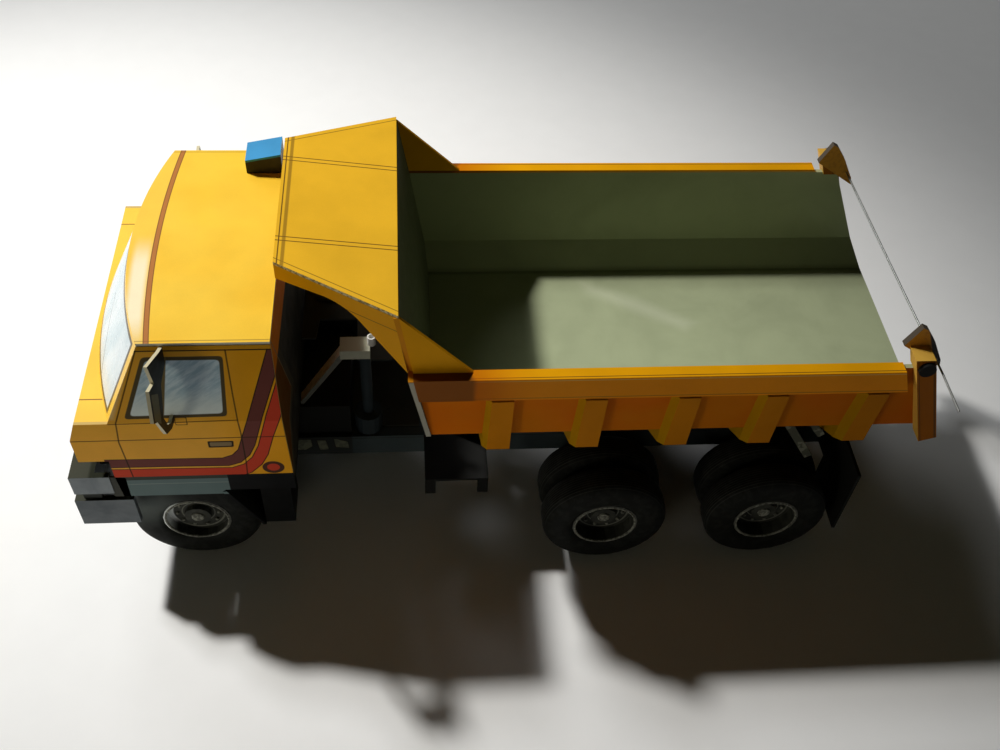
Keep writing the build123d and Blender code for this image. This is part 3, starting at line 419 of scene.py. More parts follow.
def cab_side_material():
    g = Graph("cab_side_print")
    x, y, z = g.xyz()
    # The blue in this yellow, more of it low down, is painted sheen; the rear part has none
    c = g.mix(g.step(z, 60.0, 5.0), (0.88, 0.43, 0.050), (0.86, 0.42, 0.040))
    c = g.mix(g.mul(g.under(x, 67.0, 7.0), 0.8), c, (0.86, 0.37, 0.002))
    for ink, top, low in STRIPES:
        c = g.mix(g.under(g.strip(x, z, top, low), 0.08, 0.06), c, ink)
        for edge in (top, low):
            c = g.mix(g.line(g.path(x, z, edge), 0.12, 0.07), c, INK)
    ring = g.disc(x, z, RING_CENTRE, 1.08)
    c = g.mix(g.under(ring, RING_R), c, (0.085, 0.035, 0.020))
    c = g.mix(g.under(ring, RING_HOLE_R), c, STRIPE_RED)
    for points, half_w in SIDE_LINES:
        c = g.mix(g.mul(g.line(g.path(x, z, points), half_w, 0.1), 0.85), c, INK)
    # Painted highlight on the front pillar
    pillar_highlight = g.under(g.poly(x, z, PILLAR_HIGHLIGHT), 0.0, 0.7)
    c = g.mix(g.mul(pillar_highlight, 0.6), c, (0.84, 0.68, 0.36))
    window = g.poly(x, z, WINDOW_FRAME, WINDOW_CORNER)
    glass = g.poly(x, z, WINDOW_GLASS, WINDOW_CORNER)
    c = g.mix(g.under(window, 0.1, 0.1), c, (0.10, 0.075, 0.035))
    c = g.mix(g.under(glass, 0.0, 0.12), c, window_print(g, x, z))
    divider = g.line(g.seg(x, z, *DIVIDER), 0.62, 0.12)
    c = g.mix(g.mul(divider, g.under(window, 0.1)), c, (0.16, 0.12, 0.05))
    handle = g.poly(x, z, HANDLE, 0.6)
    c = g.mix(g.under(handle, 0.1), c, INK)
    c = g.mix(g.under(handle, -0.35), c, (0.26, 0.19, 0.10))
    root = g.poly(x, z, MIRROR_ROOT, 0.6)
    c = g.mix(g.mul(g.line(root, 0.13), 0.7), c, INK)
    c = g.mix(g.step(z, GUTTER_Z, 0.08), c, (0.72, 0.33, 0.012))
    # Dark line under the gutter: painted shadow
    c = g.mix(g.line_at(z, GUTTER_Z - 0.2, 0.16), c, INK)
    c = g.mix(across(g, (0, 1, 0.2)), c, (0.60, 0.42, 0.14))
    return g.paper(c, gloss=0.40, shine=0.03)


ROOF_BAND_X = 84.2
ROOF_BAND_BOW = -0.0019
ROOF_BAND_HALF_W = 0.55


def roof_material():
    """Yellow with a bowed brown band near the front and a painted highlight in front of it."""
    g = Graph("cab_roof_print")
    x, y, z = g.xyz()
    c = g.mix(g.patches(0.035, 2.0, 0.5, 0.2), (0.92, 0.54, 0.030), (0.94, 0.60, 0.050))
    band = g.sub(x, g.mul_add(g.mul(y, y), ROOF_BAND_BOW, ROOF_BAND_X))
    c = g.mix(g.step(band, 0.5, 0.3), c, (0.93, 0.58, 0.060))
    # Painted highlight on the strip in front of the band
    painted_highlight = g.mul(g.band(band, 1.0, 4.6, 0.9), g.band(y, 4.0, 31.0, 6.0))
    c = g.mix(g.mul(painted_highlight, 0.75), c, (0.98, 0.93, 0.72))
    c = g.mix(g.line(band, ROOF_BAND_HALF_W, 0.08), c, (0.46, 0.17, 0.035))
    c = g.mix(g.line_at(g.mag(band), ROOF_BAND_HALF_W, 0.10), c, (0.20, 0.07, 0.015))
    c = g.mix(g.mul(g.line_at(g.mag(y), 33.2, 0.14), 0.6), c, BROWN)
    c = g.mix(across(g, (0, 0, 1)), c, CUT)
    return g.paper(c, gloss=0.45, bump=0.12, shine=0.12)


SCREEN_FOOT_Z = 67.2
SCREEN_HEAD_Z = 84.9
# Each wiper arm: foot and tip as (y, z)
WIPERS = (((24.0, 67.4), (8.0, 78.0)), ((-12.0, 67.4), (-28.0, 77.0)))


def screen_material():
    """Windscreen print, narrower towards the roof, with a dark frame and two wiper arms."""
    g = Graph("windscreen_print")
    x, y, z = g.xyz()
    half_w = g.mul_add(z, -0.20, 48.2)
    edge = g.hi(g.sub(g.mag(y), half_w), g.sub(z, SCREEN_HEAD_Z), g.sub(SCREEN_FOOT_Z, z))
    c = g.mix(g.step(edge, 0.9, 0.1), (0.10, 0.07, 0.03), YELLOW)
    streak = g.noise(0.10, 3.0, 0.6, stretch=(1, 1.5, 0.4))
    sky = g.mix(g.step(streak, 0.5, 0.2), (0.55, 0.66, 0.70), (0.72, 0.78, 0.80))
    c = g.mix(g.under(edge, 0.0, 0.15), c, sky)
    for foot, tip in WIPERS:
        c = g.mix(g.mul(g.line(g.seg(y, z, foot, tip), 0.16), 0.8), c, INK)
    return g.paper(c, gloss=0.28, bump=0.1, shine=0.4)


def centred_panel(g, half_w, low, high):
    """Signed distance to an upright rectangle about the middle of the truck."""
    x, y, z = g.xyz()
    return g.hi(g.sub(g.mag(y), half_w), g.sub(z, high), g.sub(low, z))


NOSE_FOLD_Z = 59.6
NOSE_SHADE_Z = 51.25
GRILLE_PITCH = 1.3


def nose_material():
    g = Graph("nose_print")
    x, y, z = g.xyz()
    nx, ny, nz = g.nxyz()
    c = g.mix(g.step(z, NOSE_FOLD_Z, 0.2), SIDE_YELLOW, YELLOW)
    top = g.step(nz, 0.8, 0.1)
    c = g.mix(g.mul(top, g.line_at(g.mag(y), 30.8, 0.16)), c, BROWN)
    front = g.step(nx, 0.3, 0.1)
    c = g.mix(g.mul(g.line(centred_panel(g, 31.0, 52.4, 58.6), 0.16), front), c, INK)
    slots = g.band(g.m("MODULO", g.add(z, 0.4), GRILLE_PITCH), 0.35, 0.95, 0.06)
    grille = g.under(centred_panel(g, 17.0, 53.0, 58.0), 0.0)
    c = g.mix(g.mul(g.mul(grille, front), slots), c, (0.03, 0.03, 0.03))
    c = g.mix(g.under(z, NOSE_SHADE_Z, 0.1), c, (0.045, 0.045, 0.035))
    return g.paper(c, gloss=0.4)


TAB_UPPER = [(39, 89), (33, 87.5), (20.2, 56.5), (29.1, 55.7), (39, 55.7)]
TAB_LOWER = [(39, 56), (28.9, 56), (34, 48.6), (39, 41)]


def back_material():
    """Near black. A brown tab from the side wraps round the edge, beside a paler strip of painted
    light, and the orange of the roof shows along the top."""
    g = Graph("cab_back_print")
    x, y, z = g.xyz()
    ay = g.mag(y)
    c = g.mix(g.patches(0.12, 3.0, 0.55, 0.15), (0.036, 0.034, 0.025), (0.058, 0.055, 0.040))
    tab = g.lo(g.poly(ay, z, TAB_UPPER), g.poly(ay, z, TAB_LOWER))
    # Paler strip round the tab: painted light
    c = g.mix(g.under(tab, 3.0, 0.3), c, (0.085, 0.075, 0.050))
    c = g.mix(g.under(tab, 0.0, 0.15), c, (0.17, 0.065, 0.008))
    c = g.mix(g.step(g.mul_add(ay, -0.06, z), 76.0, 0.3), c, (0.80, 0.24, 0.002))
    c = g.mix(g.line(tab, 0.16), c, (0.30, 0.24, 0.14))
    return g.paper(c, gloss=0.6, shine=0.04)


def yellow_print(name, colour, lines=None, gloss=0.38):
    """Plain yellow card, with the lines that a function prints over it."""
    g = Graph(name)
    c = g.mix(g.patches(0.05, 2.0, 0.5, 0.25), colour, scaled(colour, 0.92))
    if lines:
        c = lines(g, c)
    return g.paper(c, gloss=gloss, shine=0.04)


def canopy_lines(g, c):
    """Fold lines on the top; worn core on the slanted edges, orange on the others."""
    x, y, z = g.xyz()
    ay = g.mag(y)
    top = g.step(g.nxyz()[2], 0.5, 0.1)
    slope = g.mul_add(g.sub(x, 27.1), 0.5, ay)
    ink = g.hi(
        g.line_at(ay, 14.9, 0.13),
        g.line_at(ay, 13.6, 0.13),
        g.line_at(x, 53.4, 0.13),
        g.mul(g.line_at(x, 52.3, 0.40, 0.15), 0.6),
        g.mul(g.line_at(slope, 34.2, 0.12), 0.8),
    )
    c = g.mix(g.mul(ink, top), c, (0.13, 0.065, 0.015))
    worn = g.mix(g.patches(1.6, 3.0, 0.52, 0.12, rough=0.6), (0.80, 0.68, 0.38), (0.34, 0.24, 0.09))
    edge = g.mix(side_face(g, 0.4), (0.60, 0.30, 0.03), worn)
    return g.mix(g.inv(top), c, edge)


def outward(g, edge, soft):
    """1 on faces that look away from the middle of the truck."""
    x, y, z = g.xyz()
    return g.step(g.mul(g.nxyz()[1], g.m("SIGN", y)), edge, soft)


def cheek_lines(g, c):
    """Fold line, and the inner face darkened as painted shade."""
    x, y, z = g.xyz()
    fold = g.sub(z, g.mul_add(x, 0.13, 88.6))
    c = g.mix(g.mul(g.line(fold, 0.12), 0.7), c, BROWN)
    # Inner face: painted shade
    return g.mix(outward(g, 0.0, 0.2), (0.10, 0.09, 0.05), c)


def rail_lines(g, c):
    """Fold lines, and the front of the top browner with a dark corner, both painted shadow."""
    x, y, z = g.xyz()
    ay = g.mag(y)
    side = side_face(g, 0.5)
    c = g.mix(side, c, SHADE_ORANGE)
    c = g.mix(g.mul(side, g.line_at(z, 72.9, 0.13)), c, (0.40, 0.16, 0.01))
    c = g.mix(g.mul(side, g.line_at(z, 78.9, 0.10)), c, (0.70, 0.52, 0.16))
    c = g.mix(g.mul(g.inv(side), g.line_at(ay, 38.5, 0.12)), c, (0.22, 0.10, 0.01))
    # Browner front of the top: painted shadow of the canopy
    c = g.mix(g.mul(g.step(x, 4.0, 12.0), 0.85), c, (0.50, 0.10, 0.002))
    # Dark corner: painted shadow of the gusset
    corner = g.mul_add(g.sub(ay, 36.0), 0.55, g.sub(x, 11.8))
    return g.mix(g.mul(g.step(corner, 0.0, 0.8), 0.80), c, (0.20, 0.07, 0.01))


def rib_lines(g, c):
    """Slanted sides paler, foot darker, and all of it darker towards the rear as painted shade."""
    x, y, z = g.xyz()
    c = g.mix(side_face(g), (0.68, 0.34, 0.002), c)
    c = g.mix(g.under(g.nxyz()[2], -0.5, 0.2), c, (0.42, 0.19, 0.01))
    # Darker towards the rear: painted shade for the light falling off along the truck
    return g.shade(c, g.mul_add(x, 0.0026, 0.80))


def post_lines(g, c):
    """Two lines along the raked post."""
    x, y, z = g.xyz()
    face = side_face(g)
    run = g.mul_add(z, -0.37, x)
    ink = g.hi(g.line_at(run, -123.2, 0.12), g.line_at(run, -127.0, 0.25, 0.15))
    c = g.mix(face, (0.86, 0.50, 0.08), c)
    return g.mix(g.mul(g.mul(ink, face), 0.8), c, (0.08, 0.04, 0.01))


dress("cab_side_left cab_side_right", cab_side_material(), WORN, bevel=0.08)
dress("cab_roof", roof_material(), WHITE_EDGE, bevel=0.14)
dress("windscreen", screen_material(), CUT_EDGE, bevel=0)
dress("cab_nose", nose_material(), WORN, bevel=0.10)
dress("cab_back", back_material(), WORN_DARK, bevel=0.08)
dress("canopy", yellow_print("canopy_print", (0.92, 0.51, 0.028), canopy_lines), WHITE_EDGE)
dress("canopy_cheeks", yellow_print("cheek_print", CHEEK_YELLOW, cheek_lines), CUT_EDGE)
dress("canopy_gussets", yellow_print("gusset_print", CHEEK_YELLOW), CUT_EDGE)
dress("bed_rails", yellow_print("rail_print", (0.87, 0.39, 0.004), rail_lines), WORN)
RIB_PRINT = yellow_print("rib_print", (0.79, 0.27, 0.001), rib_lines, gloss=0.5)
dress("bed_ribs", RIB_PRINT, WORN, bevel=0.14)
POST_PRINT = yellow_print("post_print", (0.34, 0.10, 0.002), post_lines)
dress("bed_posts", POST_PRINT, WORN, bevel=0.14)

# Bed prints
BED_FOLD_Z = 50.0
BED_REFLECTION = [(-27.0, -19.6), (-39.0, -14.2), (-52.0, -5.6), (-50.5, -4.4), (-38.5, -11.8),
              (-27.5, -17.8)]


def bed_inside(g):
    """Pale grey-green with stains, scuffs, a pale painted reflection and a glued seam at the foot.
    """
    x, y, z = g.xyz()
    stain = g.noise(0.045, 4.0, 0.6, distortion=0.6)
    c = g.mix(g.step(stain, 0.55, 0.15), BED, scaled(BED, 0.90))
    scuff = g.step(g.noise(0.16, 6.0, 0.75, stretch=(0.35, 1.6, 1)), 0.68, 0.05)
    c = g.mix(g.mul(scuff, 0.30), c, (0.60, 0.61, 0.44))
    # Pale streak on the floor: painted reflection
    streak = g.under(g.poly(x, y, BED_REFLECTION, 0.8), 1.2, 2.6)
    streak = g.mul(g.mul(streak, g.under(z, BED_FOLD_Z + 0.2, 0.1)), 0.28)
    c = g.mix(streak, c, (0.70, 0.72, 0.55))
    seam = g.under(g.mag(g.sub(z, BED_FOLD_Z)), 0.5, 0.5)
    seam = g.mul(seam, g.step(g.mag(y), 26.2, 0.6))
    return g.mix(g.mul(seam, 0.5), c, (0.16, 0.18, 0.10))


def bed_material():
    """Grey-green inside, orange outside and darker to the rear as painted shade, bare board at the
    ends.
    """
    g = Graph("bed_print")
    x, y, z = g.xyz()
    nx, ny, nz = g.nxyz()
    inside = bed_inside(g)
    panel = g.mix(g.patches(0.05, 2.0, 0.5, 0.2), (0.76, 0.17, 0.0), (0.74, 0.21, 0.0))
    # Darker to the rear: painted shade for the light falling off along the truck
    panel = g.shade(panel, g.mul_add(x, 0.0030, 0.88))
    c = g.mix(outward(g, 0.3, 0.15), inside, panel)
    c = g.mix(g.under(nz, -0.45, 0.1), c, (0.16, 0.07, 0.01))
    c = g.mix(g.step(g.mag(nx), 0.6, 0.1), c, (0.60, 0.60, 0.50))
    return g.paper(c, gloss=0.62, mottle=0.07, shine=0.05)


def front_wall_material():
    """Inner face darkened as painted shade, dark card facing the cab; edge orange above the rail,
    bare below.
    """
    g = Graph("front_wall_print")
    x, y, z = g.xyz()
    # Inner face: the bed's colour darkened as painted shade
    c = g.mix(g.step(g.nxyz()[0], 0.0, 0.2), scaled(BED, 0.42), (0.10, 0.085, 0.05))
    edge = across(g, (1, 0, -0.17))
    upper = g.step(z, 79.0, 0.3)
    c = g.mix(g.mul(edge, upper), c, (0.72, 0.28, 0.002))
    c = g.mix(g.mul(edge, g.inv(upper)), c, (0.40, 0.38, 0.31))
    return g.paper(c, gloss=0.62)


dress("bed_floor bed_wall_left bed_wall_right", bed_material(), WORN_BED)
dress("bed_front", front_wall_material(), WORN_DARK, bevel=0.06)


# Dark and grey card
def plain_card(name, colour, gloss=0.55, speckle=0.0):
    g = Graph(name)
    c = colour
    if speckle:
        c = g.mix(g.patches(speckle, 2.0, 0.57, 0.03), colour, scaled(colour, 2.2))
    return g.paper(c, gloss=gloss, mottle=0.2, shine=0.05)


def skirt_material():
    """Grey panel above the wheel, black step behind it."""
    g = Graph("skirt_print")
    x, y, z = g.xyz()
    face = side_face(g)
    arch = g.mul(g.step(x, 70.2, 0.1), g.step(z, 36.4, 0.1))
    grey = g.mix(g.step(z, 43.3, 0.12), (0.135, 0.19, 0.19), (0.050, 0.056, 0.045))
    grey = g.mix(g.line_at(z, 41.6, 0.14), grey, (0.22, 0.27, 0.26))
    c = g.mix(arch, (0.004, 0.004, 0.004), grey)
    front = g.step(g.mul_add(z, 0.07, x), 98.6, 0.1)
    c = g.mix(g.mul(front, face), c, (0.03, 0.028, 0.02))
    c = g.mix(g.inv(face), c, (0.020, 0.021, 0.018))
    return g.paper(c, gloss=0.5, shine=0.05)


# Fittings printed on the frame's side below the cab, as (x, z)
FITTINGS = (
    [(56.5, 27.9), (52.2, 27.7), (52.0, 24.6), (54.0, 23.0), (56.5, 23.2)],
    [(50.6, 27.2), (48.2, 27.0), (47.6, 23.0), (50.0, 22.8)],
    [(46.0, 27.9), (42.2, 26.2), (42.0, 23.4), (45.6, 24.0)],
    [(68.0, 27.6), (61.0, 27.4), (60.4, 24.0), (66.0, 22.6)],
)


def frame_side_material():
    """Blue-grey channel, darker below the cab, with printed fittings there."""
    g = Graph("frame_print")
    x, y, z = g.xyz()
    c = g.mix(g.patches(0.15, 2.0, 0.55, 0.2), (0.042, 0.056, 0.060), (0.054, 0.070, 0.072))
    c = g.mix(g.step(x, 41.0, 0.3), c, (0.026, 0.030, 0.028))
    for outline in FITTINGS:
        part = g.poly(x, z, outline, 0.4)
        metal = g.mix(g.patches(0.9, 1.0, 0.5, 0.1), (0.11, 0.12, 0.08), (0.17, 0.17, 0.11))
        c = g.mix(g.under(part, 0.25, 0.1), c, (0.012, 0.012, 0.010))
        c = g.mix(g.under(part, 0.0, 0.15), c, metal)
    c = g.mix(g.line_at(z, 27.7, 0.12), c, (0.02, 0.02, 0.02))
    return g.paper(c, gloss=0.5)


def duct_material():
    """Pale strip. Its upper face sits in the dark gap: painted lighter, the side face darker, as
    painted light.
    """
    g = Graph("duct_print")
    # Upper face lightened, side face darkened: painted light and shade
    c = g.mix(side_face(g), (0.92, 0.92, 0.84), (0.15, 0.15, 0.125))
    c = g.mix(g.mul(g.patches(0.8, 3.0, 0.60, 0.1), 0.3), c, (0.25, 0.25, 0.20))
    return g.paper(c, gloss=0.6)


def bumper_material():
    """Clouded grey, lower tier darker, a dark gap between the tiers, a top darkened as painted
    shade.
    """
    g = Graph("bumper_print")
    x, y, z = g.xyz()
    cloud = g.noise(0.10, 4.0, 0.6, distortion=0.8)
    c = g.mix(g.step(cloud, 0.52, 0.2), (0.21, 0.235, 0.26), (0.31, 0.34, 0.365))
    c = g.mix(g.band(z, 35.3, 38.2), c, (0.10, 0.105, 0.10))
    c = g.shade(c, g.mul_add(g.step(z, 36.8, 0.2), 0.38, 0.62))
    top = g.step(g.nxyz()[2], 0.6, 0.1)
    # Top faces: painted shade
    c = g.mix(top, c, (0.050, 0.052, 0.038))
    # Under the cab: painted shadow
    c = g.mix(g.mul(top, g.under(x, 103.4, 0.5)), c, (0.018, 0.020, 0.012))
    return g.paper(c, gloss=0.6, shine=0.03)


MIRROR_FACE = [(42.4, 81.0), (45.6, 84.4), (47.4, 77.6), (44.8, 73.4)]


def mirror_material():
    g = Graph("mirror_print")
    x, y, z = g.xyz()
    face = g.poly(g.mag(y), z, MIRROR_FACE, 0.6)
    c = g.mix(g.under(face, 0.0), (0.022, 0.021, 0.018), (0.19, 0.18, 0.10))
    c = g.mix(across(g, (1, 0, 0)), c, (0.60, 0.54, 0.36))
    return g.paper(c, gloss=0.45)


def beacon_material():
    g = Graph("beacon_print")
    c = g.mix(g.patches(0.25, 2.0, 0.55, 0.2), (0.030, 0.027, 0.020), (0.055, 0.048, 0.030))
    return g.paper(c, gloss=0.35)


def lug_material():
    """Orange, with a dark rear strip and dark edges."""
    g = Graph("lug_print")
    x, y, z = g.xyz()
    c = g.mix(g.patches(0.9, 2.0, 0.55, 0.1), (0.55, 0.24, 0.02), (0.46, 0.19, 0.02))
    c = g.mix(g.under(g.mul_add(z, -0.45, x), -134.6, 0.2), c, (0.045, 0.045, 0.045))
    c = g.mix(across(g, (0, 1, 0)), c, (0.10, 0.08, 0.06))
    return g.paper(c, gloss=0.5)


def wire_material():
    g = Graph("steel_wire")
    g.bsdf.inputs["Metallic"].default_value = 0.85
    return g.paper((0.42, 0.43, 0.41), gloss=0.34, grain=0.02)


DUCT_CARD = duct_material()
dress("cab_floor tank_cradles mudflaps bed_rest hinge_brackets bed_sills post_bosses headlamps"
      " air_box", plain_card("dark_card", (0.014, 0.014, 0.013)), WORN_DARK)
dress("frame_cross_members backbone_tube stack_tube stack_cup axle_front axle_rear_1 axle_rear_2"
      " bumper_stays", plain_card("frame_card", (0.034, 0.044, 0.048)), WORN_DARK, bevel=0.08)
dress("frame_rail_left frame_rail_right", frame_side_material(), WORN_DARK, bevel=0.08)
dress("engine_block", plain_card("engine_print", (0.016, 0.016, 0.014), 0.5), WORN_DARK)
dress("cab_steps", plain_card("step_card", (0.004, 0.004, 0.0035), 0.6), CUT_EDGE, bevel=0.16)
dress("cab_skirt_left cab_skirt_right", skirt_material(), CUT_EDGE, bevel=0.14)
dress("stack_head", plain_card("grey_card", (0.50, 0.50, 0.38)), WORN_DARK)
dress("stack_duct", DUCT_CARD, WORN_DARK, bevel=0)
dress("bumper", bumper_material(), WHITE_EDGE, bevel=0.16)
dress("mirrors", mirror_material(), CUT_EDGE)
dress("beacon_base", beacon_material(), WORN_DARK, bevel=0.18)
dress("beacon_lens", plain_card("blue_card", (0.050, 0.27, 0.52), 0.35), WORN_DARK, bevel=0.10)
dress("hinge_lugs", lug_material(), WHITE_EDGE, bevel=0.18)
dress("hinge_wire hinge_pin", wire_material(), bevel=0)


# Mesh helpers, in millimetres
def piece(name, body, bm, material, smooth=False):
    bmesh.ops.recalc_face_normals(bm, faces=bm.faces)
    for f in bm.faces:
        f.smooth = smooth
    mesh = bpy.data.meshes.new(name)
    bm.to_mesh(mesh)
    bm.free()
    mesh.materials.append(material)
    o = add_object(name, mesh)
    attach(o, body)
    return o


def circle(count):
    """Unit circle as (cosine, sine) pairs."""
    angles = [2 * math.pi * i / count for i in range(count)]
    return [(math.cos(a), math.sin(a)) for a in angles]


def skin(bm, one, two):
    """Quads between two loops with as many vertices each."""
    for i in range(len(one)):
        j = (i + 1) % len(one)
        bm.faces.new((one[i], one[j], two[j], two[i]))


def lathe(bm, profile, x, z, count):
    """Closed outline of (radius, y) points turned about a wheel's axle."""
    rings = [
        [bm.verts.new(((x + r * c) * MM, y * MM, (z + r * s) * MM)) for r, y in profile]
        for c, s in circle(count)
    ]
    for one, two in zip(rings, rings[1:] + rings[:1]):
        skin(bm, one, two)


def upright(bm, profile, x, y, foot_z, count, capped):
    """(radius, height) points turned about an upright axis: a capped body or a closed ring."""
    loops = [
        [bm.verts.new(((x + r * c) * MM, (y + r * s) * MM, (foot_z + h) * MM))
         for c, s in circle(count)]
        for r, h in profile
    ]
    for one, two in zip(loops, loops[1:] if capped else loops[1:] + loops[:1]):
        skin(bm, one, two)
    if capped:
        bm.faces.new(loops[0])
        bm.faces.new(loops[-1])


def tube(bm, points, radii, count):
    """Round closed tube along a few points, with a radius at each."""
    rings = []
    for i, p in enumerate(points):
        before = Vector(points[max(i - 1, 0)])
        after = Vector(points[min(i + 1, len(points) - 1)])
        d = (after - before).normalized()
        u = d.cross(Vector((0.31, 0.17, 0.93))).normalized()
        v = d.cross(u)
        rings.append([bm.verts.new((Vector(p) + radii[i] * (c * u + s * v)) * MM)
                      for c, s in circle(count)])
    for one, two in zip(rings, rings[1:]):
        skin(bm, one, two)
    bm.faces.new(rings[0])
    bm.faces.new(rings[-1])


def slab(bm, outline, offset):
    """Flat card cut to an outline of 3-D points, as thick as the offset."""
    low = [bm.verts.new(Vector(p) * MM) for p in outline]
    high = [bm.verts.new((Vector(p) + Vector(offset)) * MM) for p in outline]
    bm.faces.new(low)
    bm.faces.new(high)
    skin(bm, low, high)


def plate(bm, outline, z, thick):
    """Level card, its outline as (x, y)."""
    slab(bm, [(x, y, z) for x, y in outline], (0, 0, thick))


def plank(bm, outline, y, thick):
    """Upright card along the truck, its outline as (x, z)."""
    slab(bm, [(x, y, z) for x, z in outline], (0, thick, 0))


def box_outline(x0, x1, y0, y1):
    return [(x0, y0), (x1, y0), (x1, y1), (x0, y1)]


# Wheels
WHEEL_R = 17.0
TWIN_PITCH = 10.6
# Rounded tyre: radius, depth behind its outer face
TYRE_PROFILE = [
    (8.85, 0.9), (9.3, 0.35), (10.4, 0.05), (12.6, 0.0), (14.4, 0.12), (15.6, 0.55),
    (16.4, 1.15), (16.85, 1.9), (17.0, 2.8), (17.0, 6.2), (16.85, 7.1), (16.4, 7.85),
    (15.6, 8.45), (14.4, 8.88), (12.6, 9.0), (10.4, 8.95), (9.3, 8.65), (8.85, 8.1),
]
# Axle, its x, y of the outer tyre's face, tyres side by side, depth of the rim's disc
WHEELS = [
    ("front", 82.3, 33.4, 1, 3.0),
    ("rear_1", -27.5, 39.0, 2, 4.6),
    ("rear_2", -72.6, 39.0, 2, 4.6),
]
NUTS = 10
NUT_CIRCLE_R = 5.5
# Nuts and hub cap: heights over the disc and the radius at each
NUT_H, NUT_R = (0, 0.45, 0.6), (0.5, 0.5, 0.3)
HUB_H, HUB_R = (1.5, 1.9, 2.1), (1.7, 1.6, 1.1)
# Rolled lip of the rim: radius in the wheel, depth behind the tyre's face, thickness
LIP_R, LIP_DEPTH, LIP_HALF_T = 8.25, 0.55, 0.3
SHEEN_CENTRE = (94.5, 25.0)


def tyre_material(name, painted_sheen):
    """Black wound card, its layers as fine rings on the tread. The front one has a pale painted
    sheen.
    """
    g = Graph(name)
    x, y, z = g.xyz()
    c = g.mix(g.patches(0.5, 3.0, 0.55, 0.15), (0.012, 0.0125, 0.011), (0.020, 0.021, 0.0185))
    if painted_sheen:
        # Pale patch of painted sheen on the front tyre's side
        sheen_patch = g.under(g.disc(x, z, SHEEN_CENTRE), 7.0, 6.0)
        c = g.mix(g.mul(sheen_patch, 0.9), c, (0.105, 0.120, 0.112))
    layer = g.step(g.m("SINE", g.mul(g.mag(y), 9.0)), 0.75, 0.2)
    tread = g.inv(side_face(g, 0.7, 0.15))
    c = g.mix(g.mul(g.mul(tread, layer), 0.35), c, (0.10, 0.105, 0.095))
    return g.paper(c, gloss=0.62, bump=0.35, shine=0.06)


def rim_material(name, axle_x, patch):
    """Dark rim with pale rings and centre. The front one has a patch of painted light towards the
    nose.
    """
    g = Graph(name)
    x, y, z = g.xyz()
    r = g.disc(x, z, (axle_x, WHEEL_R))
    face = side_face(g)
    c = g.mix(g.patches(0.4, 3.0, 0.55, 0.15), (0.040, 0.041, 0.035), (0.062, 0.063, 0.052))
    for ring_r, half_w in ((6.9, 0.25), (4.3, 0.16)):
        c = g.mix(g.mul(g.line_at(r, ring_r, half_w), 0.8), c, (0.24, 0.24, 0.20))
    c = g.mix(g.mul(g.under(r, 1.3), face), c, (0.36, 0.34, 0.26))
    c = g.mix(g.mul(g.step(r, 7.95, 0.05), face), c, (0.13, 0.13, 0.115))
    if patch:
        # Painted light on the inner wall towards the nose
        angle = g.m("ARCTAN2", g.sub(z, WHEEL_R), g.sub(x, axle_x))
        lit = g.mul(g.step(r, 6.6, 0.2), g.line_at(angle, 0.25, 0.75, 0.25))
        c = g.mix(lit, c, (0.90, 0.93, 0.92))
    return g.paper(c, gloss=0.5)


def nut_material():
    g = Graph("nut_print")
    c = g.mix(g.patches(1.2, 2.0, 0.5, 0.1), (0.12, 0.12, 0.10), (0.30, 0.30, 0.25))
    return g.paper(c, gloss=0.45)


FRONT_TYRE = tyre_material("tyre_print_front", True)
REAR_TYRE = tyre_material("tyre_print_rear", False)
NUT = nut_material()
for axle, axle_x, outer_y, tyres, disc_depth in WHEELS:
    rim_m = rim_material(f"rim_print_{axle}", axle_x, axle == "front")
    tyre_m = FRONT_TYRE if axle == "front" else REAR_TYRE
    for side_name, side in (("left", 1), ("right", -1)):
        wheel = f"{axle}_{side_name}"
        bm = bmesh.new()
        for t in range(tyres):
            face_y = outer_y - t * TWIN_PITCH
            profile = [(r, side * (face_y - depth)) for r, depth in TYRE_PROFILE]
            lathe(bm, profile, axle_x, WHEEL_R, count=72)
        o = piece(f"round_tyre_{wheel}", f"wheel_{wheel}", bm, tyre_m, smooth=True)
        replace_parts(o, f"tyre_{wheel}")
        dress(f"tyre_{wheel}", tyre_m, WORN_DARK, bevel=0)
        dress(f"rim_{wheel}", rim_m, WORN_DARK, bevel=0.06)

        disc_y = outer_y - disc_depth
        bm = bmesh.new()
        for c, s in circle(NUTS):
            nut_x = axle_x + NUT_CIRCLE_R * c
            nut_z = WHEEL_R + NUT_CIRCLE_R * s
            tube(bm, [(nut_x, side * (disc_y + h), nut_z) for h in NUT_H], NUT_R, count=6)
        tube(bm, [(axle_x, side * (disc_y + h), WHEEL_R) for h in HUB_H], HUB_R, count=24)
        lip_y = outer_y - LIP_DEPTH
        lip = [(LIP_R + LIP_HALF_T * c, side * (lip_y + LIP_HALF_T * s)) for c, s in circle(8)]
        lathe(bm, lip, axle_x, WHEEL_R, count=64)
        piece(f"nuts_{wheel}", f"wheel_{wheel}", bm, NUT)

# White stub on the tube behind the cab
bm = bmesh.new()
upright(bm, [(1.05, 0.0), (1.05, 2.7), (0.75, 2.7), (0.75, 0.0)], 34.4, 10.8, 61.5, 20, False)
piece("stack_mouth", "chassis", bm, plain_card("white_card", (0.80, 0.79, 0.74), 0.7))

# Two thin strips behind the rear ribs, at either side of the bed
bm = bmesh.new()
for side in (1, -1):
    for outline, y in (
        ([(-70.9, 50.6), (-73.6, 50.2), (-82.0, 37.2), (-80.2, 36.0)], 31.0),
        ([(-78.0, 49.6), (-80.2, 49.6), (-83.4, 45.2), (-81.9, 44.0)], 30.2),
    ):
        plank(bm, outline, side * y, side * 0.5)
piece("bed_struts", "bed", bm, plain_card("strut_card", (0.075, 0.075, 0.055), 0.6, 0.4))

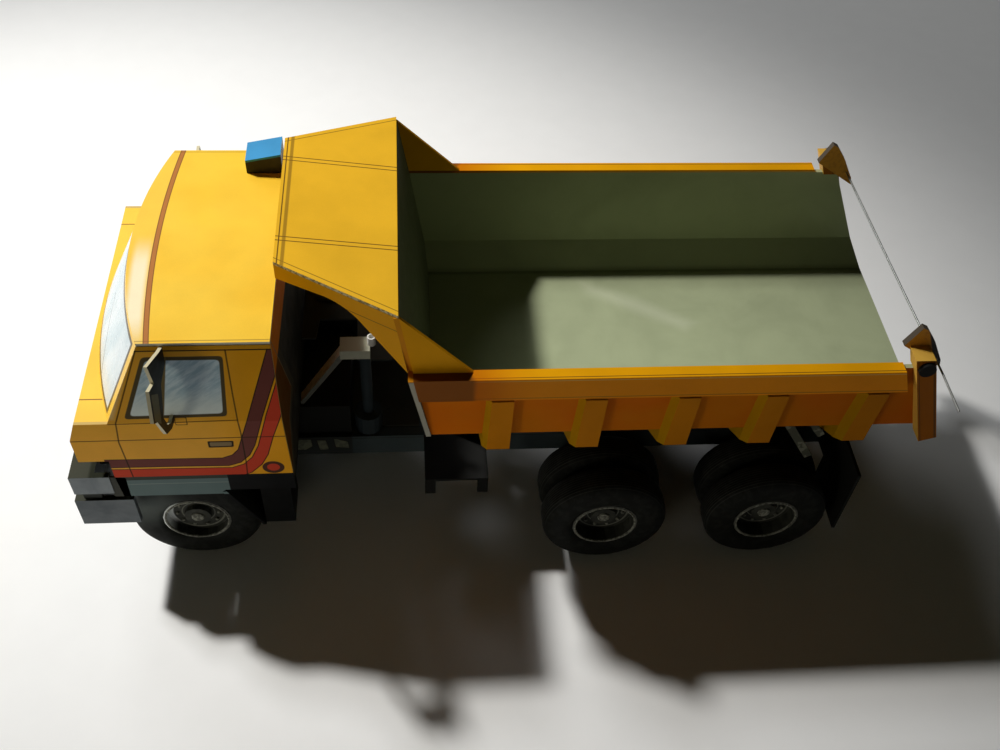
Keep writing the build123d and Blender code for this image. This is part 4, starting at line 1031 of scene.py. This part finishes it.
# Slanted strip from the tube's head to the cab's back, a little lower than its solid
bm = bmesh.new()
plank(bm, [(54.3, 38.2), (54.3, 40.2), (42.0, 60.2), (41.2, 58.7)], 12.6, -3.4)
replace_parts(piece("duct_strip", "chassis", bm, DUCT_CARD), "stack_duct")

# Dark card that fills the gap behind the cab, put where there is only shade: deck on the frame
# with ridges, lid of the box on the right rail, canister behind it. Then the bumper's bent ends
HOUSING = plain_card("housing_card", (0.055, 0.056, 0.046), 0.5)
DECK_X = (22.5, 41.6)
DECK_Z = 28.6
RIDGE_W = 1.2
bm = bmesh.new()
plate(bm, box_outline(*DECK_X, -11.7, 11.7), DECK_Z, 0.4)
for y0, y1 in ((-11.7, -11.3), (11.3, 11.7)):
    plate(bm, box_outline(*DECK_X, y0, y1), DECK_Z - 3.0, 3.0)
for x0 in (26.0, 30.5, 35.0):
    plate(bm, box_outline(x0, x0 + RIDGE_W, -10.0, 6.0), DECK_Z + 0.4, 0.35)
piece("shade_deck", "chassis", bm, HOUSING)

LID_Z = 48.05
LID_T = 0.7
bm = bmesh.new()
plate(bm, [(29.4, -34.8), (53.7, -34.8), (53.7, -3.4), (50.0, -3.4), (49.2, -10.4), (39.0, -10.4),
           (38.6, 4.6), (29.4, 4.6)], LID_Z, LID_T)
plate(bm, [(39.5, -32.0), (51.0, -32.0), (50.0, -17.0), (40.5, -17.0)], LID_Z + LID_T, 1.2)
piece("shade_lid", "chassis", bm, HOUSING)

bm = bmesh.new()
CAN_PROFILE = [(4.6, 0.0), (4.6, 2.0), (4.9, 2.2), (4.9, 3.2), (4.6, 3.4), (4.6, 17.5),
               (4.9, 17.7), (4.9, 18.7), (4.6, 18.9), (4.4, 21.2), (3.6, 22.0)]
upright(bm, CAN_PROFILE, 32.4, -20.2, DECK_Z, 40, True)
piece("shade_can", "chassis", bm, HOUSING)

bm = bmesh.new()
for side in (1, -1):
    plank(bm, [(101.6, 45.0), (94.6, 44.4), (94.8, 36.6), (98.6, 36.6)], side * 38.3, -side * 0.4)
piece("bumper_returns", "chassis", bm, HOUSING)


# Floor
def floor(half_size):
    mesh = bpy.data.meshes.new("paper_floor")
    corners = [(-1, -1), (1, -1), (1, 1), (-1, 1)]
    mesh.from_pydata([(x * half_size, y * half_size, 0) for x, y in corners], [], [(0, 1, 2, 3)])
    g = Graph("paper_white")
    mesh.materials.append(g.paper((0.90, 0.90, 0.89), gloss=0.8, grain=0.01, mottle=0.02, bump=0.1))
    add_object("paper_floor", mesh)


floor(3.0)
